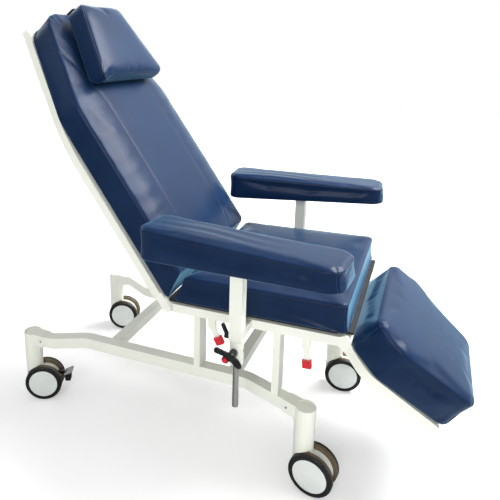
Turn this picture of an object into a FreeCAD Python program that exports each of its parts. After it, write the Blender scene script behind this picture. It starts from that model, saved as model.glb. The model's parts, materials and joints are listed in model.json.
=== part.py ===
import FreeCAD, Part
import math
import os
import re
from types import SimpleNamespace

from FreeCAD import Placement, Rotation, Vector

# Phlebotomy chair on four twin-wheel castors. Lengths are in millimetres and angles in degrees.
# X runs forwards from the back to the leg rest, Y to the sitter's left, Z up from the floor.
# Places along X are measured from the rear castor stems, and the whole chair is moved at the end
# so that the origin lies on the floor under its middle.
SIZES = {
    # Whole chair
    "middle_from_stem": 650.104,
    "overrun": 5,
    "fit_gap": 0.05,
    "soft_gap": 0.4,
    # Castors
    "wheel_diameter": 125,
    "tyre_deep": 16.5,
    "tyre_edge": 3,
    "wheel_half_outside": 38,
    "hood_wide": 26,
    "wheel_side_gap": 0.5,
    "wheel_guard_gap": 2.5,
    "hub_dome": 2,
    "hub_rim": 6,
    "hub_wall": 1.7,
    "hub_shallow": 0.5,
    "tyre_side": 1.5,
    "tyre_shoulder": 0.75,
    "axle_diameter": 10,
    "hood_radius": 52,
    "caster_trail": 33,
    "neck_diameter": 56,
    "neck_top": 149,
    "stem_diameter": 16,
    "stem_long": 50,
    "swivel_gap": 1,
    "rear_left_yaw": 18,
    "rear_right_yaw": 26,
    "front_right_yaw": -8,
    "front_left_yaw": 8,
    # Brake pedal of the rear right castor
    "pedal_out": 37,
    "pedal_up": 22.5,
    "pedal_thick": 6,
    "pedal_arm_long": 40,
    "pedal_arm_high": 12,
    "pedal_slot_drop": 18,
    "pedal_pin": 5,
    "pedal_plate_long": 24,
    "pedal_plate_wide": 34,
    "pedal_plate_thick": 5,
    # Base
    "wheelbase": 942,
    "rear_track": 524,
    "front_track": 488,
    "base_top": 247,
    "rail_high": 37,
    "rail_wide": 36,
    "rail_wall": 2.5,
    "rail_bend": 60,
    "rail_start": 60,
    "rail_straight": 22,
    "rear_bend_x": 188,
    "rear_bend_y": 206,
    "front_bend_x": 752,
    "front_bend_y": 178,
    "tower_diameter": 58,
    "tower_rim": 3.5,
    "tower_recess": 2.5,
    "socket_wide": 42,
    "socket_lip": 1,
    "spigot_long": 6.5,
    "spigot_gap": 0.3,
    "gusset_radius": 34,
    "gusset_wide": 14,
    "screw_diameter": 7,
    "screw_head": 1.5,
    "set_screw_inset": 10.5,
    "cross_tube": 32,
    "rear_cross_x": 272,
    "front_cross_x": 687,
    # Leg frames
    "leg_thick": 20,
    "leg_wide": 50,
    "leg_tube_high": 25,
    "rear_leg_x": 588,
    "rear_leg_y": 186,
    "front_leg_x": 840,
    "front_leg_y": 210,
    "frame_gap": 0.1,
    # Seat
    "seat_back_x": 510,
    "seat_back_z": 474,
    "seat_tilt": 1.9,
    "seat_rail_long": 522,
    "seat_rail_high": 26,
    "seat_rail_wide": 50,
    "seat_frame_wide": 534,
    "lug_radius": 17,
    "shaft_diameter": 16,
    "back_pivot_x": 23,
    "board_thick": 12,
    "board_start": 18,
    "board_long": 484,
    "board_wide": 508,
    "lip_long": 40,
    "lip_thick": 7,
    "seat_cushion_start": 32,
    "seat_cushion_end": 534,
    "seat_cushion_half": 276,
    "seat_cushion_high": 79,
    "seat_crown": 6,
    "seat_rounding": 8,
    "seat_corner": 18,
    "seat_back_cut": 38,
    # Release levers under the right seat rail
    "back_lever_x": 150,
    "leg_lever_x": 422,
    "lever_y": 245,
    "lever_drop": 32,
    "cheek_thick": 3,
    "cheek_long": 24,
    "cheek_gap": 0.4,
    "blade_thick": 5,
    "blade_wide": 18,
    "lever_pin": 6,
    "lever_cap_long": 22,
    "lever_cap_wide": 23,
    "lever_cap_thick": 13,
    "lever_cap_below": 5.5,
    "back_lever_long": 50,
    "back_lever_lean": 27,
    "leg_lever_long": 56,
    "leg_lever_lean": 3,
    # Back rest, measured along it from the pivot and forwards from the pivot's plane
    "back_incline": 54,
    "back_tube": 25,
    "back_outer_half": 288,
    "back_arm_thick": 13,
    "back_arm_gap": 1.5,
    "back_tube_start": 50,
    "back_taper_start": 572,
    "back_top": 977,
    "back_tube_top": 975,
    "back_top_half": 165,
    "back_tube_bend": 600,
    "back_cushion_start": 21,
    "back_start_slant": 47,
    "back_cushion_half": 278,
    "back_cushion_taper": 636,
    "back_cushion_top_half": 158,
    "back_top_slant": 8,
    "back_cushion_thick": 86,
    "back_crown": 16,
    "back_rounding": 9,
    "back_low_corner": 14,
    "back_taper_corner": 100,
    "back_top_corner": 62,
    "seam_start": 140,
    "seam_half": 147,
    "seam_turn": 617,
    "seam_end": 749,
    "seam_end_half": 173,
    "seam_radius": 4,
    # Head pillow and its hoop
    "pillow_start": 682,
    "pillow_long": 271,
    "pillow_half": 190,
    "pillow_top_half": 105,
    "pillow_thick": 61,
    "pillow_crown": 12,
    "pillow_rounding": 16,
    "pillow_low_corner": 50,
    "pillow_top_corner": 60,
    "pillow_rise": 5.3,
    "pillow_tilt": 3.4,
    "hoop_diameter": 8,
    "hoop_half": 16,
    "hoop_over": 3,
    "hoop_bend": 12,
    "hoop_chamfer": 33,
    "hoop_tail": 190,
    "hoop_rise": 25.5,
    "hoop_end": 16,
    # Leg rest, measured along it from the pivot and square to it
    "leg_slope": 39.5,
    "leg_base_drop": 24,
    "leg_tube": 25,
    "leg_tube_end": 332,
    "leg_tube_half": 212.5,
    "leg_tube_wide_half": 246,
    "leg_tube_end_half": 181,
    "leg_tube_bend_start": 40,
    "leg_tube_bend_wide": 100,
    "leg_tube_bend": 50,
    "leg_cushion_start": 24,
    "leg_cushion_end": 354,
    "leg_cushion_half": 212,
    "leg_cushion_wide_half": 246,
    "leg_cushion_wide_at": 122,
    "leg_cushion_foot_half": 168,
    "leg_cushion_thick": 108,
    "leg_crown": 6,
    "leg_rounding": 12,
    "leg_rear_corner": 26,
    "leg_wide_corner": 60,
    "leg_foot_corner": 30,
    "leg_arm_thick": 8,
    # Gas springs under the seat
    "spring_y": 70,
    "spring_body": 22,
    "spring_rod": 10,
    "spring_eye": 20,
    "spring_eye_thick": 8,
    "spring_pin": 8,
    "open_eye": 27,
    "open_eye_hole": 20,
    "open_pin": 6,
    "spring_cheek": 4,
    "spring_cheek_gap": 0.4,
    "lever_plate_gap": 1.5,
    "lever_plate_wide": 18,
    "back_crank": 60,
    "back_crank_angle": 105,
    "leg_crank": 38,
    "leg_crank_angle": 112,
    "back_spring_x": 826,
    "back_spring_z": 415,
    "leg_spring_x": 640,
    "leg_spring_z": 418,
    "spring_neck": 12,
    "spring_neck_wide": 7,
    "back_body_long": 176,
    "leg_body_long": 214,
    "rod_inside": 78,
    "bore_spare": 70,
    # Armrests
    "post_x": 770,
    "post_half": 337,
    "post_diameter": 17,
    "post_bottom": 258,
    "sleeve_wide": 34,
    "sleeve_bottom": 458,
    "sleeve_top": 642,
    "stub_high": 22,
    "stub_drop": 2,
    "collar_diameter": 38,
    "collar_bottom": 391,
    "boss_gap": 1.5,
    "boss_high": 26.5,
    "arm_plate_long": 320,
    "arm_plate_wide": 70,
    "arm_plate_thick": 5,
    "pad_back": 265,
    "pad_front": 284,
    "pad_half": 76,
    "pad_out": 10,
    "pad_yaw": 5,
    "pad_tilt": 3.3,
    "pad_back_thick": 88,
    "pad_front_thick": 52,
    "pad_corner": 42,
    "pad_crown": 4,
    "pad_rounding": 8,
    # Clamp handles with their buttons, and the lock levers
    "clamp_z": 431,
    "clamp_out": 30,
    "clamp_hub": 22,
    "clamp_stud": 10,
    "clamp_stud_in": 8,
    "long_wing": 43,
    "long_wing_angle": 169,
    "short_wing": 31,
    "short_wing_angle": 314,
    "wing_diameter": 15,
    "button_diameter": 14,
    "button_gap": 0.3,
    "button_out": 4,
    "button_deep": 6,
    "button_x": 14,
    "button_z": 10,
    "lock_z": 463,
    "lock_hub": 16,
    "lock_out": 14,
    "lock_stud": 8,
    "lock_stud_in": 6,
    "lock_long": 30,
    "lock_grip": 12,
    "lock_lean": 25,
}

document = FreeCAD.newDocument("phlebotomy_chair")
sheet = document.addObject("Spreadsheet::Sheet", "Sizes")
for row, (name, value) in enumerate(SIZES.items(), start=1):
    sheet.set(f"A{row}", name)
    sheet.set(f"B{row}", str(value))
    sheet.setAlias(f"B{row}", name)
document.recompute()
size = SimpleNamespace(**{name: float(sheet.get(name)) for name in SIZES})
sub_parts = []
ORIGIN = Placement(Vector(-size.middle_from_stem, 0, 0), Rotation())
LEFT = 1
RIGHT = -1
SIDES = {"left": LEFT, "right": RIGHT}
NO_TURN = Rotation()
ALONG_Y = Rotation(Vector(1, 0, 0), -90)
ALONG_X = Rotation(Vector(0, 1, 0), 90)


def bound(text):
    """The text of an expression with each size's name read from the sheet."""

    def from_sheet(word):
        name = word.group()
        return f"Sizes.{name}" if name in SIZES else name

    return re.sub(r"[a-z]\w+", from_sheet, text)


def at(x, y, z, turn=NO_TURN):
    return Placement(Vector(x, y, z), turn)


def measure(item, dimension, value):
    """Binds a size to an expression on the sheet, or sets one that has been worked out from it."""
    if isinstance(value, str):
        item.setExpression(dimension, bound(value))
    else:
        setattr(item, dimension, value)


def block(name, place, length, width, height):
    """A box with its low corner at the place."""
    item = document.addObject("Part::Box", name)
    measure(item, "Length", length)
    measure(item, "Width", width)
    measure(item, "Height", height)
    item.Placement = place
    return item


def rod(name, place, diameter, length):
    """A cylinder that starts at the place and runs along the place's own Z."""
    item = document.addObject("Part::Cylinder", name)
    measure(item, "Radius", f"({diameter}) / 2")
    measure(item, "Height", length)
    item.Placement = place
    return item


def joined(name, items, place=None):
    item = document.addObject("Part::MultiFuse", name)
    item.Shapes = items
    item.Placement = place or Placement()
    return item


def less(name, base, tool, place=None):
    item = document.addObject("Part::Cut", name)
    item.Base = base
    item.Tool = tool
    item.Placement = place or Placement()
    return item


def group(name, items):
    item = document.addObject("Part::Compound", name)
    item.Links = items
    return item


def shaped(name, shape, place=None):
    """A piece whose outline no primitive has: its shape is worked out from the sheet's values."""
    item = document.addObject("Part::Feature", name)
    item.Shape = shape
    item.Placement = place or Placement()
    return item


def keep(item, label):
    """Names a finished sub-part and moves it so that the origin is under the chair's middle."""
    item.Label = label
    item.Placement = ORIGIN.multiply(item.Placement)
    sub_parts.append(item)


def sideways(first, second):
    """The unit vector to the left of the way from one point to the next."""
    way = (second - first).normalize()
    return Vector(-way.y, way.x, 0)


def corner_arc(before, corner, after, radius, offset):
    """Start, middle and end of the arc that rounds a corner, moved sideways by the offset."""
    incoming = (corner - before).normalize()
    outgoing = (after - corner).normalize()
    turn = math.atan2(incoming.x * outgoing.y - incoming.y * outgoing.x, incoming.dot(outgoing))
    hand = math.copysign(1, turn)
    reach = radius * math.tan(abs(turn) / 2)
    first_side = sideways(before, corner)
    last_side = sideways(corner, after)
    middle_side = (first_side + last_side).normalize()
    start = corner - incoming * reach
    centre = start + first_side * (hand * radius)
    middle = centre - middle_side * (hand * radius)
    end = corner + outgoing * reach
    return start + first_side * offset, middle + middle_side * offset, end + last_side * offset


def path_edges(points, radius, offset):
    """Straight runs joined by arcs, beside the points by the offset."""
    last = points[0] + sideways(points[0], points[1]) * offset
    edges = []
    for before, corner, after in zip(points, points[1:], points[2:]):
        start, middle, end = corner_arc(before, corner, after, radius, offset)
        edges.append(Part.LineSegment(last, start).toShape())
        edges.append(Part.Arc(start, middle, end).toShape())
        last = end
    finish = points[-1] + sideways(points[-2], points[-1]) * offset
    edges.append(Part.LineSegment(last, finish).toShape())
    return edges


def ribbon(points, radius, half, low, high):
    """A flat bar that follows the points, half to each side, from the low to the high level."""
    left = path_edges(points, radius, half)
    right = path_edges(points, radius, -half)
    start_side = sideways(points[0], points[1]) * half
    end_side = sideways(points[-2], points[-1]) * half
    ends = [
        Part.LineSegment(points[0] - start_side, points[0] + start_side).toShape(),
        Part.LineSegment(points[-1] - end_side, points[-1] + end_side).toShape(),
    ]
    wire = Part.Wire(Part.__sortEdges__(left + right + ends))
    face = Part.Face(wire)
    face.translate(Vector(0, 0, low))
    return face.extrude(Vector(0, 0, high - low))


def rounded_outline(points, radii, height):
    """A closed outline with each corner rounded by its own radius, at the given height."""
    arcs = []
    count = len(points)
    for index, (corner, radius) in enumerate(zip(points, radii)):
        before = points[index - 1]
        after = points[(index + 1) % count]
        arcs.append(corner_arc(before, corner, after, radius, 0))
    edges = []
    for index, (start, middle, end) in enumerate(arcs):
        edges.append(Part.Arc(start, middle, end).toShape())
        next_start = arcs[(index + 1) % count][0]
        edges.append(Part.LineSegment(end, next_start).toShape())
    wire = Part.Wire(edges)
    wire.translate(Vector(0, 0, height))
    return wire


def drawn_in(points, inset):
    """The outline moved inwards by the inset on every side."""
    count = len(points)
    moved = []
    for index, corner in enumerate(points):
        before = points[index - 1]
        after = points[(index + 1) % count]
        first_side = sideways(before, corner)
        last_side = sideways(corner, after)
        both = first_side + last_side
        moved.append(corner + both * (inset / (1 + first_side.dot(last_side))))
    return moved


# How a padded side swells: shares of the thickness, and of the rounding, at each level of a cushion.
LEVEL_SHARES = (0, 0.25, 0.55, 0.8, 0.94, 1)
INSET_SHARES = (0.3, 0.05, 0, 0.12, 0.5, 1.3)
# How far the crown's edge lies inside the top of the side, as a share of the crown's height.
CROWN_INSET_SHARE = 4
# The tightest that a corner becomes as its outline is drawn in.
LEAST_ROUND_SHARE = 0.34


def tightened(radii, inset):
    """The corner radii of an outline that is drawn in by the inset."""
    return [max(radius - inset, radius * LEAST_ROUND_SHARE) for radius in radii]


def padded(points, radii, thick, crown, rounding, start_slant=0, end_slant=0):
    """A cushion: rounded outlines one above the other, widest below the middle, closed by its crown.

    The points and radii belong to the corners of the right half. A slant is how much further
    forwards the first or the last corner lies at the top of the side than at its bottom.
    """
    levels = [(thick * level, rounding * inset, level) for level, inset in zip(LEVEL_SHARES, INSET_SHARES)]
    crown_inset = rounding * INSET_SHARES[-1] + crown * CROWN_INSET_SHARE
    levels.append((thick + crown, crown_inset, LEVEL_SHARES[-1]))
    wires = []
    for height, inset, level in levels:
        first = points[0] + Vector(start_slant * level, 0, 0)
        last = points[-1] + Vector(end_slant * level, 0, 0)
        right = [first] + points[1:-1] + [last]
        left = [Vector(point.x, -point.y, 0) for point in reversed(right)]
        radii_here = tightened(radii + radii[::-1], inset)
        wires.append(rounded_outline(drawn_in(right + left, inset), radii_here, height))
    return Part.makeLoft(wires, True, False)


def base_rail(side, side_name):
    """A square tube bent twice in plan, hollow, standing over the castors."""
    front_y = size.front_track / 2
    reach = Vector(size.wheelbase - size.front_bend_x, front_y - size.front_bend_y, 0)
    end = Vector(size.wheelbase, front_y, 0) - reach.normalize() * size.rail_start
    rear_y = size.rear_track / 2
    points = [
        Vector(size.rail_start, rear_y, 0),
        Vector(size.rail_start + size.rail_straight, rear_y, 0),
        Vector(size.rear_bend_x, size.rear_bend_y, 0),
        Vector(size.front_bend_x, size.front_bend_y, 0),
        end,
    ]
    points = [Vector(point.x, point.y * side, 0) for point in points]
    half = size.rail_wide / 2
    outside = ribbon(points, size.rail_bend, half, size.base_top - size.rail_high, size.base_top)
    low = size.base_top - size.rail_high + size.rail_wall
    inside = ribbon(points, size.rail_bend, half - size.rail_wall, low, size.base_top - size.rail_wall)
    keep(shaped(f"base_rail_{side_name}", outside.cut(inside)), f"base_rail_{side_name}")


def rail_inner_y(x):
    """Distance from the middle to the inner face of a base rail, on its long straight."""
    run = size.front_bend_x - size.rear_bend_x
    slope = (size.front_bend_y - size.rear_bend_y) / run
    centre = size.rear_bend_y + (x - size.rear_bend_x) * slope
    return centre - size.rail_wide / 2 / math.cos(math.atan(slope))


def base_cross_tube(label, x):
    """A square tube across the base, cut to the narrower of its two ends' rail distances."""
    half = rail_inner_y(x + size.cross_tube) - size.frame_gap
    low = size.base_top - size.cross_tube
    keep(block(label, at(x, -half, low), "cross_tube", half * 2, "cross_tube"), label)


def caster_housing(label, stem, turn):
    """A round tower with a recessed top, a socket for the rail's end and a curved gusset."""
    low = size.neck_top + size.swivel_gap
    tower = rod(
        f"{label}_tower",
        at(0, 0, low),
        "tower_diameter",
        "base_top + socket_lip - neck_top - swivel_gap",
    )
    top = size.base_top + size.socket_lip
    socket_low = size.base_top - size.rail_high - size.socket_lip
    socket = block(
        f"{label}_socket",
        at(0, -size.socket_wide / 2, socket_low),
        "rail_start",
        "socket_wide",
        "rail_high + 2 * socket_lip",
    )
    inner_half = size.rail_wide / 2 - size.rail_wall - size.spigot_gap
    spigot = block(
        f"{label}_spigot",
        at(size.rail_start, -inner_half, size.base_top - size.rail_high + size.rail_wall + size.spigot_gap),
        "spigot_long",
        "rail_wide - 2 * rail_wall - 2 * spigot_gap",
        "rail_high - 2 * rail_wall - 2 * spigot_gap",
    )
    radius = size.gusset_radius
    corner = size.tower_diameter / 2
    gusset_block = block(
        f"{label}_gusset_block",
        at(0, -size.gusset_wide / 2, socket_low - radius),
        "tower_diameter / 2 + gusset_radius",
        "gusset_wide",
        "gusset_radius",
    )
    gusset_round = rod(
        f"{label}_gusset_round",
        at(corner + radius, -size.gusset_wide, socket_low - radius, ALONG_Y),
        "2 * gusset_radius",
        "2 * gusset_wide",
    )
    gusset = less(f"{label}_gusset", gusset_block, gusset_round)
    body = joined(f"{label}_body", [tower, socket, spigot, gusset])
    recess = rod(
        f"{label}_recess",
        at(0, 0, top - size.tower_recess),
        "tower_diameter - 2 * tower_rim",
        "tower_recess + overrun",
    )
    bore = rod(
        f"{label}_bore",
        at(0, 0, low - size.overrun),
        "stem_diameter + 2 * fit_gap",
        "stem_long + overrun",
    )
    hollows = joined(f"{label}_hollows", [recess, bore])
    keep(less(label, body, hollows, at(stem.x, stem.y, 0, Rotation(Vector(0, 0, 1), turn))), label)


def stem_places():
    """Each castor's label, stem position, the turn of its housing and of its wheels."""
    rear_y = size.rear_track / 2
    front_y = size.front_track / 2
    splay = math.degrees(math.atan2(front_y - size.front_bend_y, size.wheelbase - size.front_bend_x))
    return [
        ("rear_left", Vector(0, rear_y, 0), 0, size.rear_left_yaw),
        ("rear_right", Vector(0, -rear_y, 0), 0, size.rear_right_yaw),
        ("front_left", Vector(size.wheelbase, front_y, 0), 180 + splay, size.front_left_yaw),
        ("front_right", Vector(size.wheelbase, -front_y, 0), 180 - splay, size.front_right_yaw),
    ]


def caster_fork(label, place, has_pedal):
    """Neck, hood between the wheels and axle: one casting that swivels on its stem."""
    wheel_z = size.wheel_diameter / 2
    neck = rod(f"{label}_neck", at(0, 0, wheel_z), "neck_diameter", "neck_top - wheel_diameter / 2")
    cuts = []
    guard_diameter = "wheel_diameter + 2 * wheel_guard_gap"
    for side in SIDES.values():
        low_y = size.hood_wide / 2 if side == LEFT else -size.hood_wide / 2 - size.neck_diameter
        place_here = at(size.caster_trail, low_y, wheel_z, ALONG_Y)
        cuts.append(rod(f"{label}_guard_{side + 1}", place_here, guard_diameter, "neck_diameter"))
    trimmed = less(f"{label}_trimmed", neck, joined(f"{label}_guards", cuts))
    hood = rod(
        f"{label}_hood",
        at(size.caster_trail, -size.hood_wide / 2, wheel_z, ALONG_Y),
        "2 * hood_radius",
        "hood_wide",
    )
    axle_half = size.wheel_half_outside - size.hub_dome
    axle = rod(
        f"{label}_axle",
        at(size.caster_trail, -axle_half, wheel_z, ALONG_Y),
        "axle_diameter",
        "2 * (wheel_half_outside - hub_dome)",
    )
    stem = rod(
        f"{label}_stem",
        at(0, 0, size.neck_top - size.overrun),
        "stem_diameter",
        "stem_long - swivel_gap",
    )
    body = joined(f"{label}_body", [trimmed, hood, axle, stem])
    if has_pedal:
        pivot = pedal_pivot()
        slot_half = size.pedal_thick / 2 + size.spigot_gap
        slot = block(
            f"{label}_slot",
            at(pivot.x - size.pedal_arm_high, -slot_half, pivot.z - size.pedal_slot_drop),
            "hood_radius + pedal_arm_high",
            "pedal_thick + 2 * spigot_gap",
            "hood_radius",
        )
        pin_hole = rod(
            f"{label}_pin_hole",
            at(pivot.x, -size.hood_wide, pivot.z, ALONG_Y),
            "pedal_pin + 2 * fit_gap",
            "2 * hood_wide",
        )
        body = less(f"{label}_slotted", body, joined(f"{label}_pedal_room", [slot, pin_hole]))
    body.Placement = place
    keep(body, label)


def pedal_pivot():
    return Vector(size.caster_trail + size.pedal_out, 0, size.wheel_diameter / 2 + size.pedal_up)


def brake_pedal(place):
    """The foot pedal that locks a castor: an arm in the hood's slot with a ribbed plate outside."""
    pivot = pedal_pivot()
    half_high = size.pedal_arm_high / 2
    half_thick = size.pedal_thick / 2
    arm = block(
        "brake_pedal_arm",
        at(pivot.x - half_high, -half_thick, pivot.z - half_high),
        "pedal_arm_long + pedal_arm_high / 2",
        "pedal_thick",
        "pedal_arm_high",
    )
    pin = rod(
        "brake_pedal_pin",
        at(pivot.x, -size.hood_wide / 2, pivot.z, ALONG_Y),
        "pedal_pin",
        "hood_wide",
    )
    plate_x = pivot.x + size.pedal_arm_long - size.overrun
    plate = block(
        "brake_pedal_plate",
        at(plate_x, -size.pedal_plate_wide / 2, pivot.z + half_high - size.overrun),
        "pedal_plate_long",
        "pedal_plate_wide",
        "pedal_plate_thick",
    )
    whole = joined("brake_pedal", [arm, pin, plate])
    whole.Placement = place
    keep(whole, "brake_pedal")


def turned(points):
    """A solid turned round Y from a profile of (radius, y) points."""
    corners = [Vector(radius, y, 0) for radius, y in points]
    face = Part.Face(Part.makePolygon(corners + corners[:1]))
    return face.revolve(Vector(0, 0, 0), Vector(0, 1, 0), 360)


def caster_wheel(label, place, side):
    """A moulded hub with a domed outer face that closes its bore, and the tyre on its rim."""
    radius = size.wheel_diameter / 2
    rim = radius - size.tyre_deep
    inner = size.hood_wide / 2 + size.wheel_side_gap
    outer = size.wheel_half_outside
    bore = size.axle_diameter / 2 + size.fit_gap
    shoulder = outer - size.hub_dome
    closed = shoulder + size.spigot_gap
    hub = turned(
        [
            (bore, inner),
            (rim, inner),
            (rim, shoulder - size.hub_wall),
            (rim - size.hub_rim, shoulder),
            (rim / 2, outer - size.hub_shallow),
            (0, outer),
            (0, closed),
            (bore, closed),
        ]
    )
    edge = size.tyre_edge
    tyre = turned(
        [
            (rim, inner),
            (radius - edge, inner),
            (radius, inner + edge),
            (radius, outer - edge),
            (radius - edge, outer - size.tyre_shoulder),
            (rim, outer - size.tyre_side),
        ]
    )
    wheel = Part.makeCompound([hub, tyre])
    half_turn = Rotation(Vector(0, 0, 1), 0 if side == LEFT else 180)
    spot = place.multiply(at(size.caster_trail, 0, radius, half_turn))
    keep(shaped(label, wheel, spot), label)


def casters():
    for name, stem, turn, yaw in stem_places():
        caster_housing(f"caster_housing_{name}", stem, turn)
        place = at(stem.x, stem.y, 0, Rotation(Vector(0, 0, 1), yaw))
        has_pedal = name == "rear_right"
        caster_fork(f"caster_fork_{name}", place, has_pedal)
        for side_name, side in SIDES.items():
            caster_wheel(f"wheel_{name}_{side_name}", place, side)
        if has_pedal:
            brake_pedal(place)


def screws():
    """Set screws in the housings' sockets and clamp screws in the armrest collars."""
    items = []
    socket_middle = size.base_top - size.rail_high / 2
    for name, stem, turn, _ in stem_places():
        outward = LEFT if stem.y > 0 else RIGHT
        facing = outward if turn == 0 else -outward
        spot = at(stem.x, stem.y, 0, Rotation(Vector(0, 0, 1), turn))
        y = facing * size.socket_wide / 2
        low_y = y if facing == LEFT else y - size.screw_head
        local = at(size.rail_start - size.set_screw_inset, low_y, socket_middle, ALONG_Y)
        items.append(rod(f"set_screw_{name}", spot.multiply(local), "screw_diameter", "screw_head"))
    for side_name, side in SIDES.items():
        x = size.post_x + size.collar_diameter / 2
        spot = at(x, side * size.post_half, size.clamp_z, ALONG_X)
        items.append(rod(f"collar_screw_{side_name}", spot, "screw_diameter", "screw_head"))
    keep(group("frame_screws", items), "frame_screws")


SEAT = at(size.seat_back_x, 0, size.seat_back_z, Rotation(Vector(0, 1, 0), -size.seat_tilt))
RAIL_MIDDLE = -size.seat_rail_high / 2
BACK_PIVOT = SEAT.multVec(Vector(size.back_pivot_x, 0, RAIL_MIDDLE))
LEG_PIVOT = SEAT.multVec(Vector(size.seat_rail_long, 0, RAIL_MIDDLE))
incline = math.radians(size.back_incline)
BACK = Placement(
    BACK_PIVOT,
    Rotation(
        Vector(-math.cos(incline), 0, math.sin(incline)),
        Vector(0, -1, 0),
        Vector(math.sin(incline), 0, math.cos(incline)),
        "XZY",
    ),
)
LEG = Placement(LEG_PIVOT, Rotation(Vector(0, 1, 0), size.leg_slope))


def seat_underside(x):
    """Height of the seat rails' underside above a place along the chair."""
    tilt = math.radians(size.seat_tilt)
    top = size.seat_back_z + (x - size.seat_back_x) * math.tan(tilt)
    return top - size.seat_rail_high / math.cos(tilt)


def spring_cheeks(name, x_low, x_high, z_low, z_high, y, pin_x, pin_z):
    """Two plates that hold a gas spring's eye between them, with the hole for its pin."""
    half = size.spring_eye_thick / 2 + size.spring_cheek_gap
    items = []
    for side_name, low_y in (("left", y + half), ("right", y - half - size.spring_cheek)):
        spot = at(x_low, low_y, z_low)
        cheek = block(f"{name}_{side_name}", spot, x_high - x_low, "spring_cheek", z_high - z_low)
        hole = rod(
            f"{name}_hole_{side_name}",
            at(pin_x, low_y - size.overrun, pin_z, ALONG_Y),
            "spring_pin",
            "spring_cheek + 2 * overrun",
        )
        items.append(less(f"{name}_bored_{side_name}", cheek, hole))
    return items


def leg_frame(label, x, y, cheeks):
    """Two flat legs under a cross tube that joins the seat rails, with a gas spring's bracket."""
    top = seat_underside(x) - size.frame_gap
    items = []
    for side_name, side in SIDES.items():
        low_y = side * y - size.leg_wide / 2
        spot = at(x, low_y, size.base_top)
        items.append(block(f"{label}_{side_name}", spot, "leg_thick", "leg_wide", top - size.base_top))
    inner = size.seat_frame_wide / 2 - size.seat_rail_wide
    items.append(
        block(
            f"{label}_cross",
            at(x, -inner, top),
            "leg_thick",
            "seat_frame_wide - 2 * seat_rail_wide",
            "leg_tube_high",
        )
    )
    keep(joined(label, items + cheeks(top)), label)


def leg_frames():
    eye = size.spring_eye / 2 + size.overrun

    def rear_cheeks(top):
        x_high = size.leg_spring_x + eye
        z_low = size.leg_spring_z - eye
        return spring_cheeks(
            "rear_cheek", size.rear_leg_x, x_high, z_low, top + size.overrun, -size.spring_y,
            size.leg_spring_x, size.leg_spring_z,
        )

    def front_cheeks(top):
        x_low = size.back_spring_x - eye
        z_low = size.back_spring_z - eye
        x_high = size.front_leg_x + size.leg_thick
        return spring_cheeks(
            "front_cheek", x_low, x_high, z_low, top + size.overrun, size.spring_y,
            size.back_spring_x, size.back_spring_z,
        )

    leg_frame("leg_frame_rear", size.rear_leg_x, size.rear_leg_y, rear_cheeks)
    leg_frame("leg_frame_front", size.front_leg_x, size.front_leg_y, front_cheeks)


def release_cheeks(name, x):
    """The pair of small plates under the right seat rail that hold a release lever."""
    half = size.blade_thick / 2 + size.cheek_gap
    low_z = -size.seat_rail_high - size.lever_drop - size.lever_pin
    inner_y = -size.lever_y + half
    outer_y = -size.lever_y - half - size.cheek_thick
    items = []
    for side_name, low_y in (("left", inner_y), ("right", outer_y)):
        cheek = block(
            f"{name}_{side_name}",
            at(x - size.cheek_long / 2, low_y, low_z),
            "cheek_long",
            "cheek_thick",
            "lever_drop + lever_pin + overrun",
        )
        hole = rod(
            f"{name}_hole_{side_name}",
            at(x, low_y - size.overrun, -size.seat_rail_high - size.lever_drop, ALONG_Y),
            "lever_pin + 2 * fit_gap",
            "cheek_thick + 2 * overrun",
        )
        items.append(less(f"{name}_bored_{side_name}", cheek, hole))
    return items


def seat_rail(side, side_name):
    """A flat bar beside the seat, with a round lug at its front and a bore at each end for a shaft."""
    label = f"seat_rail_{side_name}"
    outer = size.seat_frame_wide / 2
    low_y = outer - size.seat_rail_wide if side == LEFT else -outer
    bar = block(
        f"{label}_bar",
        at(0, low_y, -size.seat_rail_high),
        "seat_rail_long",
        "seat_rail_wide",
        "seat_rail_high",
    )
    lug = rod(
        f"{label}_lug",
        at(size.seat_rail_long, low_y, RAIL_MIDDLE, ALONG_Y),
        "2 * lug_radius",
        "seat_rail_wide",
    )
    bores = []
    for name, x in (("back", size.back_pivot_x), ("leg", size.seat_rail_long)):
        spot = at(x, low_y - size.overrun, RAIL_MIDDLE, ALONG_Y)
        bores.append(
            rod(f"{label}_{name}_bore", spot, "shaft_diameter + 2 * fit_gap", "seat_rail_wide + 2 * overrun")
        )
    items = [bar, lug]
    if side == RIGHT:
        items += release_cheeks("back_lever_cheek", size.back_lever_x)
        items += release_cheeks("leg_lever_cheek", size.leg_lever_x)
    body = joined(f"{label}_body", items)
    keep(less(label, body, joined(f"{label}_bores", bores), SEAT), label)


def release_lever(label, x, long, lean):
    """A flat blade on a cross pin, with a square cap at its end."""
    turn = Rotation(Vector(0, 1, 0), -lean)
    place = SEAT.multiply(at(x, -size.lever_y, -size.seat_rail_high - size.lever_drop, turn))
    half_wide = size.blade_wide / 2
    blade = block(
        f"{label}_blade",
        at(-half_wide, -size.blade_thick / 2, -long),
        "blade_wide",
        "blade_thick",
        long,
    )
    head = rod(f"{label}_head", at(0, -size.blade_thick / 2, 0, ALONG_Y), "blade_wide", "blade_thick")
    pin = rod(
        f"{label}_pin",
        at(0, -size.blade_thick / 2 - size.cheek_thick - size.screw_head, 0, ALONG_Y),
        "lever_pin",
        "blade_thick + 2 * cheek_thick + 2 * screw_head",
    )
    cap = block(
        f"{label}_cap",
        at(-size.lever_cap_wide / 2, -size.lever_cap_thick / 2, -long - size.lever_cap_below),
        "lever_cap_wide",
        "lever_cap_thick",
        "lever_cap_long",
    )
    keep(joined(label, [blade, head, pin, cap], place), label)


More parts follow.
